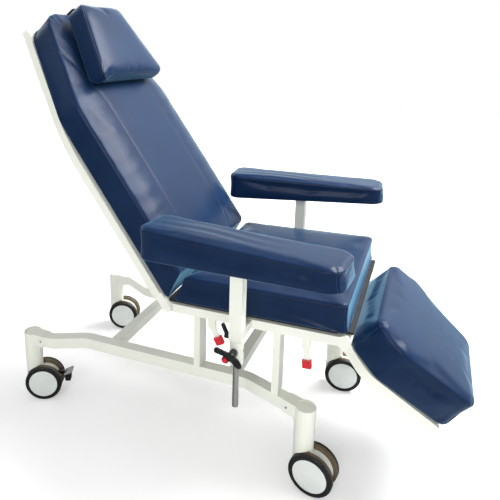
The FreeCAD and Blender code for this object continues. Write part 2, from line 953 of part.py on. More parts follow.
def seat_board():
    """The board under the seat's pad, with a thinner lip that reaches forwards over the leg shaft."""
    low_y = -size.board_wide / 2
    main = block(
        "seat_board_main",
        at(size.board_start, low_y, size.frame_gap),
        "board_long",
        "board_wide",
        "board_thick",
    )
    lip_x = size.board_start + size.board_long - size.overrun
    lip = block(
        "seat_board_lip",
        at(lip_x, low_y, size.frame_gap + size.board_thick - size.lip_thick),
        "lip_long + overrun",
        "board_wide",
        "lip_thick",
    )
    keep(joined("seat_board", [main, lip], SEAT), "seat_board")


def seat_cushion():
    """The seat pad: its rear end slopes forwards so that the back rest can swing over it."""
    half = size.seat_cushion_half
    points = [Vector(size.seat_cushion_start, -half, 0), Vector(size.seat_cushion_end, -half, 0)]
    radii = [size.seat_corner, size.seat_corner]
    high = size.seat_cushion_high
    cushion = padded(points, radii, high, size.seat_crown, size.seat_rounding, start_slant=size.seat_back_cut)
    place = SEAT.multiply(at(0, 0, size.frame_gap + size.board_thick))
    keep(shaped("seat_cushion", cushion, place), "seat_cushion")


def seat():
    for side_name, side in SIDES.items():
        seat_rail(side, side_name)
    seat_board()
    seat_cushion()
    release_lever("release_lever_back", size.back_lever_x, size.back_lever_long, size.back_lever_lean)
    release_lever("release_lever_leg", size.leg_lever_x, size.leg_lever_long, size.leg_lever_lean)


def crank_plates(name, angle, long, y):
    """Two plates on a shaft that reach down to a gas spring, with the pin between them."""
    turn = Rotation(Vector(0, 1, 0), angle)
    half = size.spring_eye_thick / 2 + size.lever_plate_gap
    items = []
    for side_name, low_y in (("left", y + half), ("right", y - half - size.spring_cheek)):
        plate = block(
            f"{name}_{side_name}",
            Placement(turn.multVec(Vector(0, low_y, -size.lever_plate_wide / 2)), turn),
            long,
            "spring_cheek",
            "lever_plate_wide",
        )
        tip = turn.multVec(Vector(long, low_y, 0))
        tip_place = at(tip.x, tip.y, tip.z, ALONG_Y)
        items += [plate, rod(f"{name}_tip_{side_name}", tip_place, "lever_plate_wide", "spring_cheek")]
    spot = turn.multVec(Vector(long, y - half, 0))
    pin_place = at(spot.x, spot.y, spot.z, ALONG_Y)
    items.append(rod(f"{name}_pin", pin_place, "open_pin", "spring_eye_thick + 2 * lever_plate_gap"))
    return items


def pivot_shaft(label, pivot, half, plates):
    shaft = rod(f"{label}_bar", at(0, -half, 0, ALONG_Y), "shaft_diameter", half * 2)
    keep(joined(label, [shaft] + plates, Placement(pivot, NO_TURN)), label)


def back_side_tube(side, side_name):
    """A square tube that follows the edge of the back, with a hinge arm beside the seat rail."""
    label = f"back_side_tube_{side_name}"
    half_tube = size.back_tube / 2
    line = size.back_outer_half - half_tube
    top_line = size.back_top_half - half_tube
    points = [
        Vector(size.back_tube_start, -side * line, 0),
        Vector(size.back_taper_start, -side * line, 0),
        Vector(size.back_tube_top - half_tube, -side * top_line, 0),
    ]
    joint = size.back_tube_top - size.back_tube - size.frame_gap
    corner = Vector(joint, -size.back_outer_half, -half_tube)
    above = Part.makeBox(size.back_tube, 2 * size.back_outer_half, size.back_tube, corner)
    tube = ribbon(points, size.back_tube_bend, half_tube, -half_tube, half_tube).cut(above)
    inner = size.seat_frame_wide / 2 + size.back_arm_gap
    low_y = -inner - size.back_arm_thick if side == LEFT else inner
    arm = Part.makeBox(
        size.back_tube_start + size.overrun, size.back_arm_thick, size.back_tube, Vector(0, low_y, -half_tube)
    )
    eye = Part.makeCylinder(half_tube, size.back_arm_thick, Vector(0, low_y, 0), Vector(0, 1, 0))
    bore_start = Vector(0, low_y - size.overrun, 0)
    bore = Part.makeCylinder(
        size.shaft_diameter / 2, size.back_arm_thick + 2 * size.overrun, bore_start, Vector(0, 1, 0)
    )
    whole = tube.fuse([arm, eye]).cut(bore).removeSplitter()
    keep(shaped(label, whole, BACK), label)


def back_top_tube():
    """The tube across the top of the back, bored for the head pillow's hoop."""
    tube = block(
        "back_top_tube_bar",
        at(size.back_tube_top - size.back_tube, -size.back_top_half, -size.back_tube / 2),
        "back_tube",
        "2 * back_top_half",
        "back_tube",
    )
    bores = []
    for side_name, side in SIDES.items():
        spot = at(size.back_tube_top - size.back_tube - size.overrun, side * size.hoop_half, 0, ALONG_X)
        bores.append(
            rod(f"hoop_bore_{side_name}", spot, "hoop_diameter + 2 * fit_gap", "back_tube + 2 * overrun")
        )
    keep(less("back_top_tube", tube, joined("hoop_bores", bores), BACK), "back_top_tube")


def seam_line(points, radius):
    """Round bars through the points, which press a seam's channel into a cushion."""
    bars = []
    for first, second in zip(points, points[1:]):
        way = second - first
        bars.append(Part.makeCylinder(radius, way.Length, first, way))
        bars.append(Part.makeSphere(radius, second))
    return bars


def back_cushion():
    """The long pad of the back: it tapers to the head and has a sewn channel along each side."""
    points = [
        Vector(size.back_cushion_start, -size.back_cushion_half, 0),
        Vector(size.back_cushion_taper, -size.back_cushion_half, 0),
        Vector(size.back_top, -size.back_cushion_top_half, 0),
    ]
    cushion = padded(
        points,
        [size.back_low_corner, size.back_taper_corner, size.back_top_corner],
        size.back_cushion_thick,
        size.back_crown,
        size.back_rounding,
        start_slant=size.back_start_slant,
        end_slant=size.back_top_slant,
    )
    top = size.back_cushion_thick + size.back_crown + size.seam_radius / 2
    cuts = []
    for side in SIDES.values():
        seam = [
            Vector(size.seam_start, side * size.seam_half, top),
            Vector(size.seam_turn, side * size.seam_half, top),
            Vector(size.seam_end, side * size.seam_end_half, top),
        ]
        cuts += seam_line(seam, size.seam_radius)
    place = BACK.multiply(at(0, 0, size.back_tube / 2))
    keep(shaped("back_cushion", cushion.cut(cuts), place), "back_cushion")


def pillow_place():
    low = size.back_tube / 2 + size.back_cushion_thick + size.back_crown + size.pillow_rise
    return BACK.multiply(at(size.pillow_start, 0, low, Rotation(Vector(0, 1, 0), -size.pillow_tilt)))


def hoop_points():
    """The hoop's bend points seen from the side, in the back's own frame."""
    over = size.back_top + size.back_top_slant + size.hoop_over
    crown_top = size.back_tube / 2 + size.back_cushion_thick + size.back_crown
    front = crown_top + size.hoop_diameter / 2 + size.hoop_rise
    return [
        Vector(size.back_tube_top - size.hoop_tail, 0, 0),
        Vector(over, 0, 0),
        Vector(over, front - size.hoop_chamfer, 0),
        Vector(over - size.hoop_chamfer, front, 0),
        Vector(size.pillow_start + size.hoop_end, front, 0),
    ]


def hoop_rods(radius):
    """Two bent rods: up behind the cushion, over its top end and down into the pillow."""
    edges = path_edges(hoop_points(), size.hoop_bend, 0)
    path = Part.Wire(edges)
    first = hoop_points()[0]
    circle = Part.Wire(Part.makeCircle(radius, first, Vector(1, 0, 0)))
    bent = path.makePipeShell([circle], True, False)
    bent.rotate(Vector(0, 0, 0), Vector(1, 0, 0), 90)
    rods = []
    for side in SIDES.values():
        copy = bent.copy()
        copy.translate(Vector(0, side * size.hoop_half, 0))
        rods.append(copy)
    return rods


def head_pillow():
    """The pillow, wider at its lower end and bored for the hoop, with the hoop's two rods."""
    points = [Vector(0, -size.pillow_half, 0), Vector(size.pillow_long, -size.pillow_top_half, 0)]
    radii = [size.pillow_low_corner, size.pillow_top_corner]
    soft = padded(points, radii, size.pillow_thick, size.pillow_crown, size.pillow_rounding)
    local = BACK.inverse().multiply(pillow_place())
    soft.Placement = local
    holes = hoop_rods(size.hoop_diameter / 2 + size.soft_gap)
    keep(shaped("head_pillow", soft.cut(holes), BACK), "head_pillow")
    keep(shaped("headrest_hoop", Part.makeCompound(hoop_rods(size.hoop_diameter / 2)), BACK), "headrest_hoop")


def back():
    for side_name, side in SIDES.items():
        back_side_tube(side, side_name)
    back_top_tube()
    plates = crank_plates("back_crank_plate", size.back_crank_angle, size.back_crank, size.spring_y)
    half = size.seat_frame_wide / 2 + size.back_arm_gap + size.back_arm_thick
    pivot_shaft("back_pivot_shaft", BACK_PIVOT, half, plates)
    back_cushion()
    head_pillow()


def leg_side_tube(side, side_name):
    """A square tube under one edge of the leg rest, with the arm that hangs it on its shaft."""
    label = f"leg_side_tube_{side_name}"
    half_tube = size.leg_tube / 2
    line = [
        (-half_tube, size.leg_tube_half),
        (size.leg_tube_bend_start, size.leg_tube_half),
        (size.leg_tube_bend_wide, size.leg_tube_wide_half),
        (size.leg_tube_end, size.leg_tube_end_half),
    ]
    points = [Vector(x, side * (y - half_tube), 0) for x, y in line]
    low = -size.leg_base_drop - size.leg_tube
    tube = ribbon(points, size.leg_tube_bend, half_tube, low, low + size.leg_tube)
    low_y = side * (size.leg_tube_half - half_tube) - size.leg_arm_thick / 2
    arm = Part.makeBox(
        size.leg_tube, size.leg_arm_thick, size.leg_base_drop + size.leg_tube, Vector(-half_tube, low_y, low)
    )
    eye = Part.makeCylinder(half_tube, size.leg_arm_thick, Vector(0, low_y, 0), Vector(0, 1, 0))
    bore_start = Vector(0, low_y - size.overrun, 0)
    bore = Part.makeCylinder(
        size.shaft_diameter / 2, size.leg_arm_thick + 2 * size.overrun, bore_start, Vector(0, 1, 0)
    )
    whole = tube.fuse([arm, eye]).cut(bore).removeSplitter()
    keep(shaped(label, whole, LEG), label)


def leg_cushion():
    """The pad of the leg rest: it widens below the knee and narrows to the foot."""
    points = [
        Vector(size.leg_cushion_start, -size.leg_cushion_half, 0),
        Vector(size.leg_cushion_wide_at, -size.leg_cushion_wide_half, 0),
        Vector(size.leg_cushion_end, -size.leg_cushion_foot_half, 0),
    ]
    radii = [size.leg_rear_corner, size.leg_wide_corner, size.leg_foot_corner]
    cushion = padded(points, radii, size.leg_cushion_thick, size.leg_crown, size.leg_rounding)
    place = LEG.multiply(at(0, 0, -size.leg_base_drop))
    keep(shaped("leg_cushion", cushion, place), "leg_cushion")


def leg_rest():
    for side_name, side in SIDES.items():
        leg_side_tube(side, side_name)
    plates = crank_plates("leg_crank_plate", size.leg_crank_angle, size.leg_crank, -size.spring_y)
    half = size.seat_frame_wide / 2
    pivot_shaft("leg_pivot_shaft", LEG_PIVOT, half, plates)
    leg_cushion()


def gas_spring(label, anchor, tip, y, body_long):
    """A cylinder with an eye on its bracket's pin, and a rod whose open eye hangs in a crank."""
    way = Vector(tip.x - anchor.x, 0, tip.z - anchor.z)
    angle = math.degrees(math.atan2(-way.z, way.x))
    place = Placement(Vector(anchor.x, y, anchor.z), Rotation(Vector(0, 1, 0), angle))
    half = size.spring_eye_thick / 2
    eye_hole = rod(
        f"{label}_eye_hole",
        at(0, -half - size.overrun, 0, ALONG_Y),
        "spring_pin + 2 * fit_gap",
        "spring_eye_thick + 2 * overrun",
    )
    eye_disc = rod(f"{label}_eye_disc", at(0, -half, 0, ALONG_Y), "spring_eye", "spring_eye_thick")
    eye = less(f"{label}_eye", eye_disc, eye_hole)
    neck_start = size.spring_eye / 2 - size.screw_head
    neck = rod(f"{label}_neck", at(neck_start, 0, 0, ALONG_X), "spring_neck_wide", "spring_neck")
    start = neck_start + size.spring_neck - size.screw_head
    tube = rod(f"{label}_tube", at(start, 0, 0, ALONG_X), "spring_body", body_long)
    end = start + body_long
    bore_start = end - size.rod_inside - size.bore_spare
    bore = rod(
        f"{label}_bore",
        at(bore_start, 0, 0, ALONG_X),
        "spring_rod + 2 * fit_gap",
        "rod_inside + bore_spare + overrun",
    )
    cylinder = less(f"{label}_cylinder", joined(f"{label}_shell", [eye, neck, tube]), bore, place)
    keep(cylinder, f"{label}_cylinder")
    rod_start = end - size.rod_inside
    rod_end = way.Length - size.open_eye / 2 + size.screw_head
    bar = rod(f"{label}_bar", at(rod_start, 0, 0, ALONG_X), "spring_rod", rod_end - rod_start)
    ring = rod(f"{label}_open_ring", at(way.Length, -half, 0, ALONG_Y), "open_eye", "spring_eye_thick")
    hole = rod(
        f"{label}_open_hole",
        at(way.Length, -half - size.overrun, 0, ALONG_Y),
        "open_eye_hole",
        "spring_eye_thick + 2 * overrun",
    )
    keep(less(f"{label}_rod", joined(f"{label}_rod_body", [bar, ring]), hole, place), f"{label}_rod")


def crank_tip(pivot, angle, long):
    turn = Rotation(Vector(0, 1, 0), angle)
    return pivot + turn.multVec(Vector(long, 0, 0))


def gas_springs():
    back_anchor = Vector(size.back_spring_x, 0, size.back_spring_z)
    back_tip = crank_tip(BACK_PIVOT, size.back_crank_angle, size.back_crank)
    gas_spring("back_spring", back_anchor, back_tip, size.spring_y, size.back_body_long)
    leg_anchor = Vector(size.leg_spring_x, 0, size.leg_spring_z)
    leg_tip = crank_tip(LEG_PIVOT, size.leg_crank_angle, size.leg_crank)
    gas_spring("leg_spring", leg_anchor, leg_tip, -size.spring_y, size.leg_body_long)
    pins = []
    half = size.spring_eye_thick / 2 + size.spring_cheek_gap + size.spring_cheek
    for name, anchor, y in (("back", back_anchor, size.spring_y), ("leg", leg_anchor, -size.spring_y)):
        spot = at(anchor.x, y - half, anchor.z, ALONG_Y)
        pins.append(rod(f"{name}_spring_pin", spot, "spring_pin", half * 2))
    keep(group("spring_pins", pins), "spring_pins")


def arm_sleeve(side, side_name):
    """A square sleeve on a short stub beside the seat rail, with a round clamp collar below it."""
    label = f"arm_sleeve_{side_name}"
    y = side * size.post_half
    half = size.sleeve_wide / 2
    sleeve = block(
        f"{label}_tube",
        at(size.post_x - half, y - half, size.sleeve_bottom),
        "sleeve_wide",
        "sleeve_wide",
        "sleeve_top - sleeve_bottom",
    )
    inner = size.seat_frame_wide / 2
    low_y = inner if side == LEFT else y + half
    stub = block(
        f"{label}_stub",
        at(size.post_x - half, low_y, size.sleeve_bottom + size.stub_drop),
        "sleeve_wide",
        "post_half - sleeve_wide / 2 - seat_frame_wide / 2",
        "stub_high",
    )
    collar = rod(
        f"{label}_collar",
        at(size.post_x, y, size.collar_bottom),
        "collar_diameter",
        "sleeve_bottom - collar_bottom",
    )
    body = joined(f"{label}_body", [sleeve, stub, collar])
    bore = rod(
        f"{label}_bore",
        at(size.post_x, y, size.collar_bottom - size.overrun),
        "post_diameter + 2 * fit_gap",
        "sleeve_top - collar_bottom + 2 * overrun",
    )
    outward = size.collar_diameter / 2 - size.clamp_stud_in
    clamp_y = y + outward if side == LEFT else y - outward - size.clamp_stud_in * 2
    clamp_hole = rod(
        f"{label}_clamp_hole",
        at(size.post_x, clamp_y, size.clamp_z, ALONG_Y),
        "clamp_stud + 2 * fit_gap",
        "2 * clamp_stud_in",
    )
    lock_hole = rod(
        f"{label}_lock_hole",
        at(size.post_x - half - size.overrun, y, size.lock_z, ALONG_X),
        "lock_stud + 2 * fit_gap",
        "lock_stud_in + overrun",
    )
    hollows = joined(f"{label}_hollows", [bore, clamp_hole, lock_hole])
    keep(less(label, body, hollows), label)


def armrest(side, side_name):
    """The stainless post, the plate that swivels on it and the wedge-shaped pad."""
    y = side * size.post_half
    boss_low = size.sleeve_top + size.boss_gap
    post = rod(
        f"arm_post_{side_name}",
        at(size.post_x, y, size.post_bottom),
        "post_diameter",
        "sleeve_top + boss_gap + boss_high - arm_plate_thick - post_bottom",
    )
    keep(post, f"arm_post_{side_name}")
    yaw = Rotation(Vector(0, 0, 1), side * size.pad_yaw)
    tilt = yaw.multiply(Rotation(Vector(0, 1, 0), -size.pad_tilt))
    place = at(size.post_x, y, boss_low + size.boss_high, tilt)
    out = side * size.pad_out
    plate = block(
        f"arm_plate_{side_name}_flat",
        at(-size.arm_plate_long / 2, out - size.arm_plate_wide / 2, -size.arm_plate_thick),
        "arm_plate_long",
        "arm_plate_wide",
        "arm_plate_thick",
    )
    plate.Placement = place.multiply(plate.Placement)
    half = size.sleeve_wide / 2
    boss = block(
        f"arm_boss_{side_name}",
        at(size.post_x - half, y - half, boss_low),
        "sleeve_wide",
        "sleeve_wide",
        "boss_high - arm_plate_thick / 2",
    )
    bore = rod(
        f"arm_boss_bore_{side_name}",
        at(size.post_x, y, boss_low - size.overrun),
        "post_diameter + 2 * fit_gap",
        "boss_high - arm_plate_thick + overrun + fit_gap",
    )
    label = f"arm_plate_{side_name}"
    keep(less(label, joined(f"{label}_body", [plate, boss]), bore), label)
    wires = []
    for level_share, inset_share in zip(LEVEL_SHARES, INSET_SHARES):
        wires.append(pad_outline(out, size.pad_rounding * inset_share, level_share))
    crown_inset = size.pad_rounding * INSET_SHARES[-1] + size.pad_crown * CROWN_INSET_SHARE
    crown_share = (size.pad_back_thick + size.pad_crown) / size.pad_back_thick
    wires.append(pad_outline(out, crown_inset, crown_share))
    label = f"armrest_pad_{side_name}"
    keep(shaped(label, Part.makeLoft(wires, True, False), place), label)


def pad_outline(out, inset, share):
    """A level of the wedge-shaped pad: it tips forwards as it nears the sloping top."""
    half = size.pad_half
    points = [
        Vector(-size.pad_back, out - half, 0),
        Vector(size.pad_front, out - half, 0),
        Vector(size.pad_front, out + half, 0),
        Vector(-size.pad_back, out + half, 0),
    ]
    radii = tightened([size.pad_corner for _ in points], inset)
    wire = rounded_outline(drawn_in(points, inset), radii, 0)
    long = size.pad_back + size.pad_front
    fall = size.pad_back_thick - size.pad_front_thick
    slope = math.degrees(math.atan2(fall, long))
    middle = size.pad_front_thick + fall * size.pad_front / long
    wire.rotate(Vector(0, 0, 0), Vector(0, 1, 0), slope * share)
    wire.translate(Vector(0, 0, middle * share))
    return wire


def wing(name, angle, long, y):
    """One wing of a clamp handle: a round bar with a round end, turned about Y."""
    turn = Rotation(Vector(0, 1, 0), -angle)
    bar = Placement(Vector(0, y, 0), turn).multiply(Placement(Vector(0, 0, 0), ALONG_X))
    item = rod(f"{name}_bar", bar, "wing_diameter", long)
    end = document.addObject("Part::Sphere", f"{name}_end")
    end.setExpression("Radius", bound("wing_diameter / 2"))
    end.Placement = Placement(turn.multVec(Vector(long, 0, 0)) + Vector(0, y, 0), NO_TURN)
    return [item, end]


def clamp_handle(side, side_name):
    """The two-winged handle on the collar's clamp screw, with the push button in its face."""
    label = f"clamp_lever_{side_name}"
    y = side * size.post_half
    place = at(size.post_x, y, size.clamp_z)
    near = side * (size.collar_diameter / 2 + size.spigot_gap)
    far = near + side * size.clamp_out
    low = min(near, far)
    hub = rod(f"{label}_hub", at(0, low, 0, ALONG_Y), "clamp_hub", abs(far - near))
    stud_tip = side * (size.collar_diameter / 2 - size.clamp_stud_in + size.spigot_gap)
    stud_low = min(stud_tip, far)
    stud = rod(f"{label}_stud", at(0, stud_low, 0, ALONG_Y), "clamp_stud", abs(far - stud_tip))
    wing_y = far - side * size.wing_diameter / 2
    boss_y = far - side * size.wing_diameter
    boss = rod(
        f"{label}_button_boss",
        at(-size.button_x, min(boss_y, far), -size.button_z, ALONG_Y),
        "button_diameter + 2 * tower_recess",
        "wing_diameter",
    )
    items = [hub, stud, boss]
    items += wing(f"{label}_long", size.long_wing_angle, size.long_wing, wing_y)
    items += wing(f"{label}_short", size.short_wing_angle, size.short_wing, wing_y)
    pocket_low = far - size.button_deep - size.button_out if side == LEFT else far - size.overrun
    pocket = rod(
        f"{label}_pocket",
        at(-size.button_x, pocket_low, -size.button_z, ALONG_Y),
        "button_diameter + 2 * button_gap",
        "button_deep + button_out + overrun",
    )
    keep(less(label, joined(f"{label}_body", items), pocket, place), label)
    button_low = far - size.button_deep if side == LEFT else far - size.button_out
    button = rod(
        f"clamp_button_{side_name}",
        at(size.post_x - size.button_x, y + button_low, size.clamp_z - size.button_z, ALONG_Y),
        "button_diameter",
        "button_deep + button_out",
    )
    keep(button, f"clamp_button_{side_name}")


def lock_lever(side, side_name):
    """A small lever on the sleeve's rear face: hub, stud and a leaning grip."""
    label = f"lock_lever_{side_name}"
    face = -size.collar_diameter / 2 - size.spigot_gap
    hub = rod(f"{label}_hub", at(face - size.lock_out, 0, 0, ALONG_X), "lock_hub", "lock_out")
    base = Vector(face - size.lock_out / 2, 0, 0)
    stud_end = -size.sleeve_wide / 2 - size.spigot_gap + size.lock_stud_in
    stud = rod(f"{label}_stud", at(base.x, 0, 0, ALONG_X), "lock_stud", stud_end - base.x)
    turn = Rotation(Vector(0, 1, 0), -size.lock_lean)
    grip = rod(f"{label}_grip", Placement(base, turn), "lock_grip", "lock_long")
    end = document.addObject("Part::Sphere", f"{label}_end")
    end.setExpression("Radius", bound("lock_grip / 2"))
    end.Placement = Placement(base + turn.multVec(Vector(0, 0, size.lock_long)), NO_TURN)
    place = at(size.post_x, side * size.post_half, size.lock_z)
    keep(joined(label, [hub, stud, grip, end], place), label)


def arms():
    for side_name, side in SIDES.items():
        arm_sleeve(side, side_name)
        armrest(side, side_name)
        clamp_handle(side, side_name)
        lock_lever(side, side_name)


for side_name, side in SIDES.items():
    base_rail(side, side_name)
base_cross_tube("base_cross_tube_rear", size.rear_cross_x)
base_cross_tube("base_cross_tube_front", size.front_cross_x)
casters()
screws()
leg_frames()
seat()
back()
leg_rest()
gas_springs()
arms()

document.recompute()
for item in document.Objects:
    if "Invalid" in item.State or "Error" in item.State:
        raise RuntimeError(f"{item.Label} failed: {item.State}")
os.makedirs("parts", exist_ok=True)
for item in sub_parts:
    shape = item.Shape
    if shape.isNull() or not shape.isValid() or not shape.Solids:
        raise RuntimeError(f"{item.Label} has no sound solid")
    shape.exportStep(f"parts/{item.Label}.step")
    print(item.Label, len(shape.Solids), round(shape.Volume))
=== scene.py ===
# %% [markdown]
# A phlebotomy chair: a recliner on castors in which blood is drawn. The steel
# frame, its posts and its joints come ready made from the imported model. This
# lesson dresses it: the upholstery, the wheels, the small moulded parts, the
# finishes, and a plain studio to look at it in. All lengths are in metres.

# %% The frame
import json
import math

import bpy
import numpy as np
from mathutils import Matrix, Vector
from mathutils.bvhtree import BVHTree


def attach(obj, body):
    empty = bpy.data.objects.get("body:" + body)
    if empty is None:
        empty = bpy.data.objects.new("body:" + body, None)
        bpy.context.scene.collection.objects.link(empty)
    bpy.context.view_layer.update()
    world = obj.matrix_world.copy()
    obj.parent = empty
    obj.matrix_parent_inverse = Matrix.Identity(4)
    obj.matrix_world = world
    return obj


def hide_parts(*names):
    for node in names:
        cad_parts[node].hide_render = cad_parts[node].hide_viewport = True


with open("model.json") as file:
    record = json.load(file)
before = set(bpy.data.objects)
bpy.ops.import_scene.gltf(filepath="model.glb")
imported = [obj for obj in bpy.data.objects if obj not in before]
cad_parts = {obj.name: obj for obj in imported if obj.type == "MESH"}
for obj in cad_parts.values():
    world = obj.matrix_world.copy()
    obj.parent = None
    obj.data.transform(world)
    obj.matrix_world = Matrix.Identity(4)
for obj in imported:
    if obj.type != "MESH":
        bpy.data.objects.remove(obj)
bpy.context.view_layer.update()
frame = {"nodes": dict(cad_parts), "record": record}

# %% [markdown]
# Most finishes on this chair are mathematics on noise. Written as nodes, even
# 1 - mask takes several lines, so a small class wraps a socket and lets Python's
# own operators add the Math nodes. Everything else comes from one method, add.


# %% Shader arithmetic
class Wire:
    """A node's output that takes part in Python arithmetic, one Math node for each operator."""

    def __init__(self, finish, socket):
        self.finish = finish
        self.socket = socket

    def math(self, operation, *terms):
        return self.finish.add("ShaderNodeMath", {"operation": operation}, dict(enumerate(terms)))

    def __add__(self, other):
        return self.math("ADD", self, other)

    def __radd__(self, other):
        return self.math("ADD", other, self)

    def __sub__(self, other):
        return self.math("SUBTRACT", self, other)

    def __rsub__(self, other):
        return self.math("SUBTRACT", other, self)

    def __mul__(self, other):
        return self.math("MULTIPLY", self, other)

    def __rmul__(self, other):
        return self.math("MULTIPLY", other, self)


class Finish:
    """A material with one Principled shader. Constants go on its sockets, wires change over the surface."""

    def __init__(self, name, **constants):
        self.material = bpy.data.materials.new(name)
        self.material.use_nodes = True
        self.tree = self.material.node_tree
        self.shader = self.tree.nodes["Principled BSDF"]
        self.set(**constants)

    def set(self, **values):
        for name, value in values.items():
            socket = self.shader.inputs[name.replace("_", " ")]
            if isinstance(value, Wire):
                self.tree.links.new(value.socket, socket)
            else:
                socket.default_value = value

    def add(self, kind, settings=None, sockets=None, output=0):
        node = self.tree.nodes.new(kind)
        for name, value in (settings or {}).items():
            if name == "stops":
                ramp = node.color_ramp
                while len(ramp.elements) < len(value):
                    ramp.elements.new(0.5)
                for element, (place, colour) in zip(ramp.elements, value):
                    element.position = place
                    element.color = colour
            else:
                setattr(node, name, value)
        for name, value in (sockets or {}).items():
            if isinstance(value, Wire):
                self.tree.links.new(value.socket, node.inputs[name])
            else:
                node.inputs[name].default_value = value
        return Wire(self, node.outputs[output])

    def place(self):
        return self.add("ShaderNodeTexCoord", output="Object")

    def stretched(self, along):
        """Object coordinates, scaled on each axis."""
        return self.add("ShaderNodeMapping", {}, {"Vector": self.place(), "Scale": along})

    def noise(self, scale, detail=2.0, roughness=0.5, at=None):
        sockets = {"Vector": at or self.place(), "Scale": scale, "Detail": detail, "Roughness": roughness}
        return self.add("ShaderNodeTexNoise", {}, sockets)

    def cells(self, scale, feature="F1", at=None):
        sockets = {"Vector": at or self.place(), "Scale": scale}
        return self.add("ShaderNodeTexVoronoi", {"feature": feature}, sockets)

    def ramp(self, factor, low, high, colours):
        """A colour between two, as the factor goes from low to high."""
        stops = list(zip((low, high), colours))
        return self.add("ShaderNodeValToRGB", {"stops": stops}, {"Fac": factor})

    def span(self, factor, low, high, start=0.0, end=1.0):
        """The factor from low to high, read as start to end."""
        sockets = {"Value": factor, "From Min": low, "From Max": high, "To Min": start, "To Max": end}
        return self.add("ShaderNodeMapRange", {}, sockets)

    def bump(self, height, distance, strength=1.0):
        sockets = {"Height": height, "Distance": distance, "Strength": strength}
        self.set(Normal=self.add("ShaderNodeBump", {}, sockets))


def colour(red, green, blue):
    return (red, green, blue, 1.0)


# %% [markdown]
# The cover is upholstery vinyl: a navy skin with a fine pebbled grain, soft to
# the touch and slightly glossy. Much of what is seen of it is reflection, so the
# base is very dark, a weak coat adds the gloss, and a blue sheen lights what is
# seen at a low angle. The grain is two Voronoi layers, one for the pebbles and
# one for the hair cracks between them.


# %% Upholstery vinyl
def make_vinyl():
    vinyl = Finish("navy_vinyl", IOR=1.2, Coat_Weight=0.6, Coat_IOR=1.2, Coat_Roughness=0.3)
    vinyl.set(Sheen_Weight=0.6, Sheen_Roughness=0.3, Sheen_Tint=colour(0.30, 0.68, 1.0))
    shade = vinyl.noise(7.0, 3.0)
    rubbed = vinyl.noise(38.0, 4.0, 0.6)
    navy = colour(0.003, 0.015, 0.052), colour(0.006, 0.026, 0.082)
    vinyl.set(Base_Color=vinyl.ramp(shade * 0.75 + rubbed * 0.25, 0.3, 0.72, navy))
    vinyl.set(Roughness=vinyl.span(rubbed, 0.3, 0.7, 0.30, 0.42))
    pebbles = vinyl.cells(780.0)
    cracks = vinyl.cells(420.0, "DISTANCE_TO_EDGE")
    vinyl.bump(vinyl.span(cracks, 0.0, 0.12) * 0.6 + (1 - pebbles) * 0.4, 0.00009, 0.75)
    return vinyl


vinyl = make_vinyl()
thread = Finish("navy_thread", Base_Color=colour(0.006, 0.012, 0.035), Roughness=0.55)
thread.bump(thread.noise(2600.0, 1.0), 0.0002)
stitch_thread = Finish("stitch_thread", Base_Color=colour(0.05, 0.09, 0.19), Roughness=0.5)
stitch_thread.bump(stitch_thread.noise(2600.0, 1.0), 0.0002)
print("finishes", vinyl.material.name, thread.material.name)

# %% [markdown]
# The frame is powder coated off-white. Powder flows into a faint orange peel as
# it cures, and its cream varies a little in soft patches.


# %% Coated steel, plastics and bright metal
def make_paint():
    paint = Finish("powder_coat", Coat_Weight=0.15, Coat_Roughness=0.25, Roughness=0.34)
    patches = paint.noise(9.0, 4.0, 0.6)
    cream = colour(0.84, 0.86, 0.76), colour(0.89, 0.905, 0.82)
    paint.set(Base_Color=paint.ramp(patches, 0.25, 0.8, cream))
    paint.set(Roughness=paint.span(paint.noise(55.0, 3.0), 0.3, 0.7, 0.28, 0.42))
    paint.bump(paint.noise(520.0, 1.0), 0.00012, 0.5)
    return paint


def make_moulding(name, low, high, rough, grain=900.0):
    """Moulded plastic: a near-even colour, a matt to satin skin and a spark-eroded texture."""
    plastic = Finish(name, Roughness=rough, Coat_Roughness=0.2)
    plastic.set(Base_Color=plastic.ramp(plastic.noise(30.0, 3.0), 0.3, 0.75, (colour(*low), colour(*high))))
    plastic.set(Roughness=plastic.span(plastic.noise(80.0, 2.0), 0.3, 0.7, rough - 0.05, rough + 0.07))
    plastic.bump(plastic.noise(grain, 2.0), 0.00006, 0.6)
    return plastic


def make_metal(name, low, high, rough, along):
    """Drawn or ground metal: fine streaks that run along the bar."""
    metal = Finish(name, Metallic=1.0, Roughness=rough)
    streaks = metal.noise(1.0, 3.0, 0.6, metal.stretched(along))
    metal.set(Base_Color=metal.ramp(streaks, 0.3, 0.7, (colour(*low), colour(*high))))
    metal.set(Roughness=metal.span(streaks, 0.3, 0.7, rough - 0.06, rough + 0.1))
    metal.bump(streaks, 0.00002, 0.4)
    return metal


paint = make_paint()
casting = make_moulding("castor_casting", (0.80, 0.82, 0.73), (0.87, 0.885, 0.79), 0.36)
hub_grey = make_moulding("hub_grey", (0.74, 0.78, 0.75), (0.81, 0.85, 0.82), 0.34)
pedal_grey = make_moulding("pedal_grey", (0.30, 0.31, 0.31), (0.38, 0.39, 0.39), 0.5)
tyre_black = make_moulding("tyre_black", (0.006, 0.006, 0.006), (0.012, 0.012, 0.011), 0.3, 1400.0)
tread_brown = make_moulding("tread_brown", (0.09, 0.065, 0.035), (0.16, 0.12, 0.07), 0.55, 1400.0)
black_plastic = make_moulding("black_moulding", (0.004, 0.004, 0.005), (0.010, 0.010, 0.012), 0.27)
red_plastic = make_moulding("red_moulding", (0.55, 0.004, 0.012), (0.70, 0.012, 0.022), 0.3)
board_cloth = make_moulding("board_cloth", (0.012, 0.012, 0.014), (0.02, 0.02, 0.022), 0.8, 2600.0)
stainless = make_metal("stainless_tube", (0.42, 0.40, 0.35), (0.75, 0.73, 0.68), 0.2, (900.0, 900.0, 6.0))
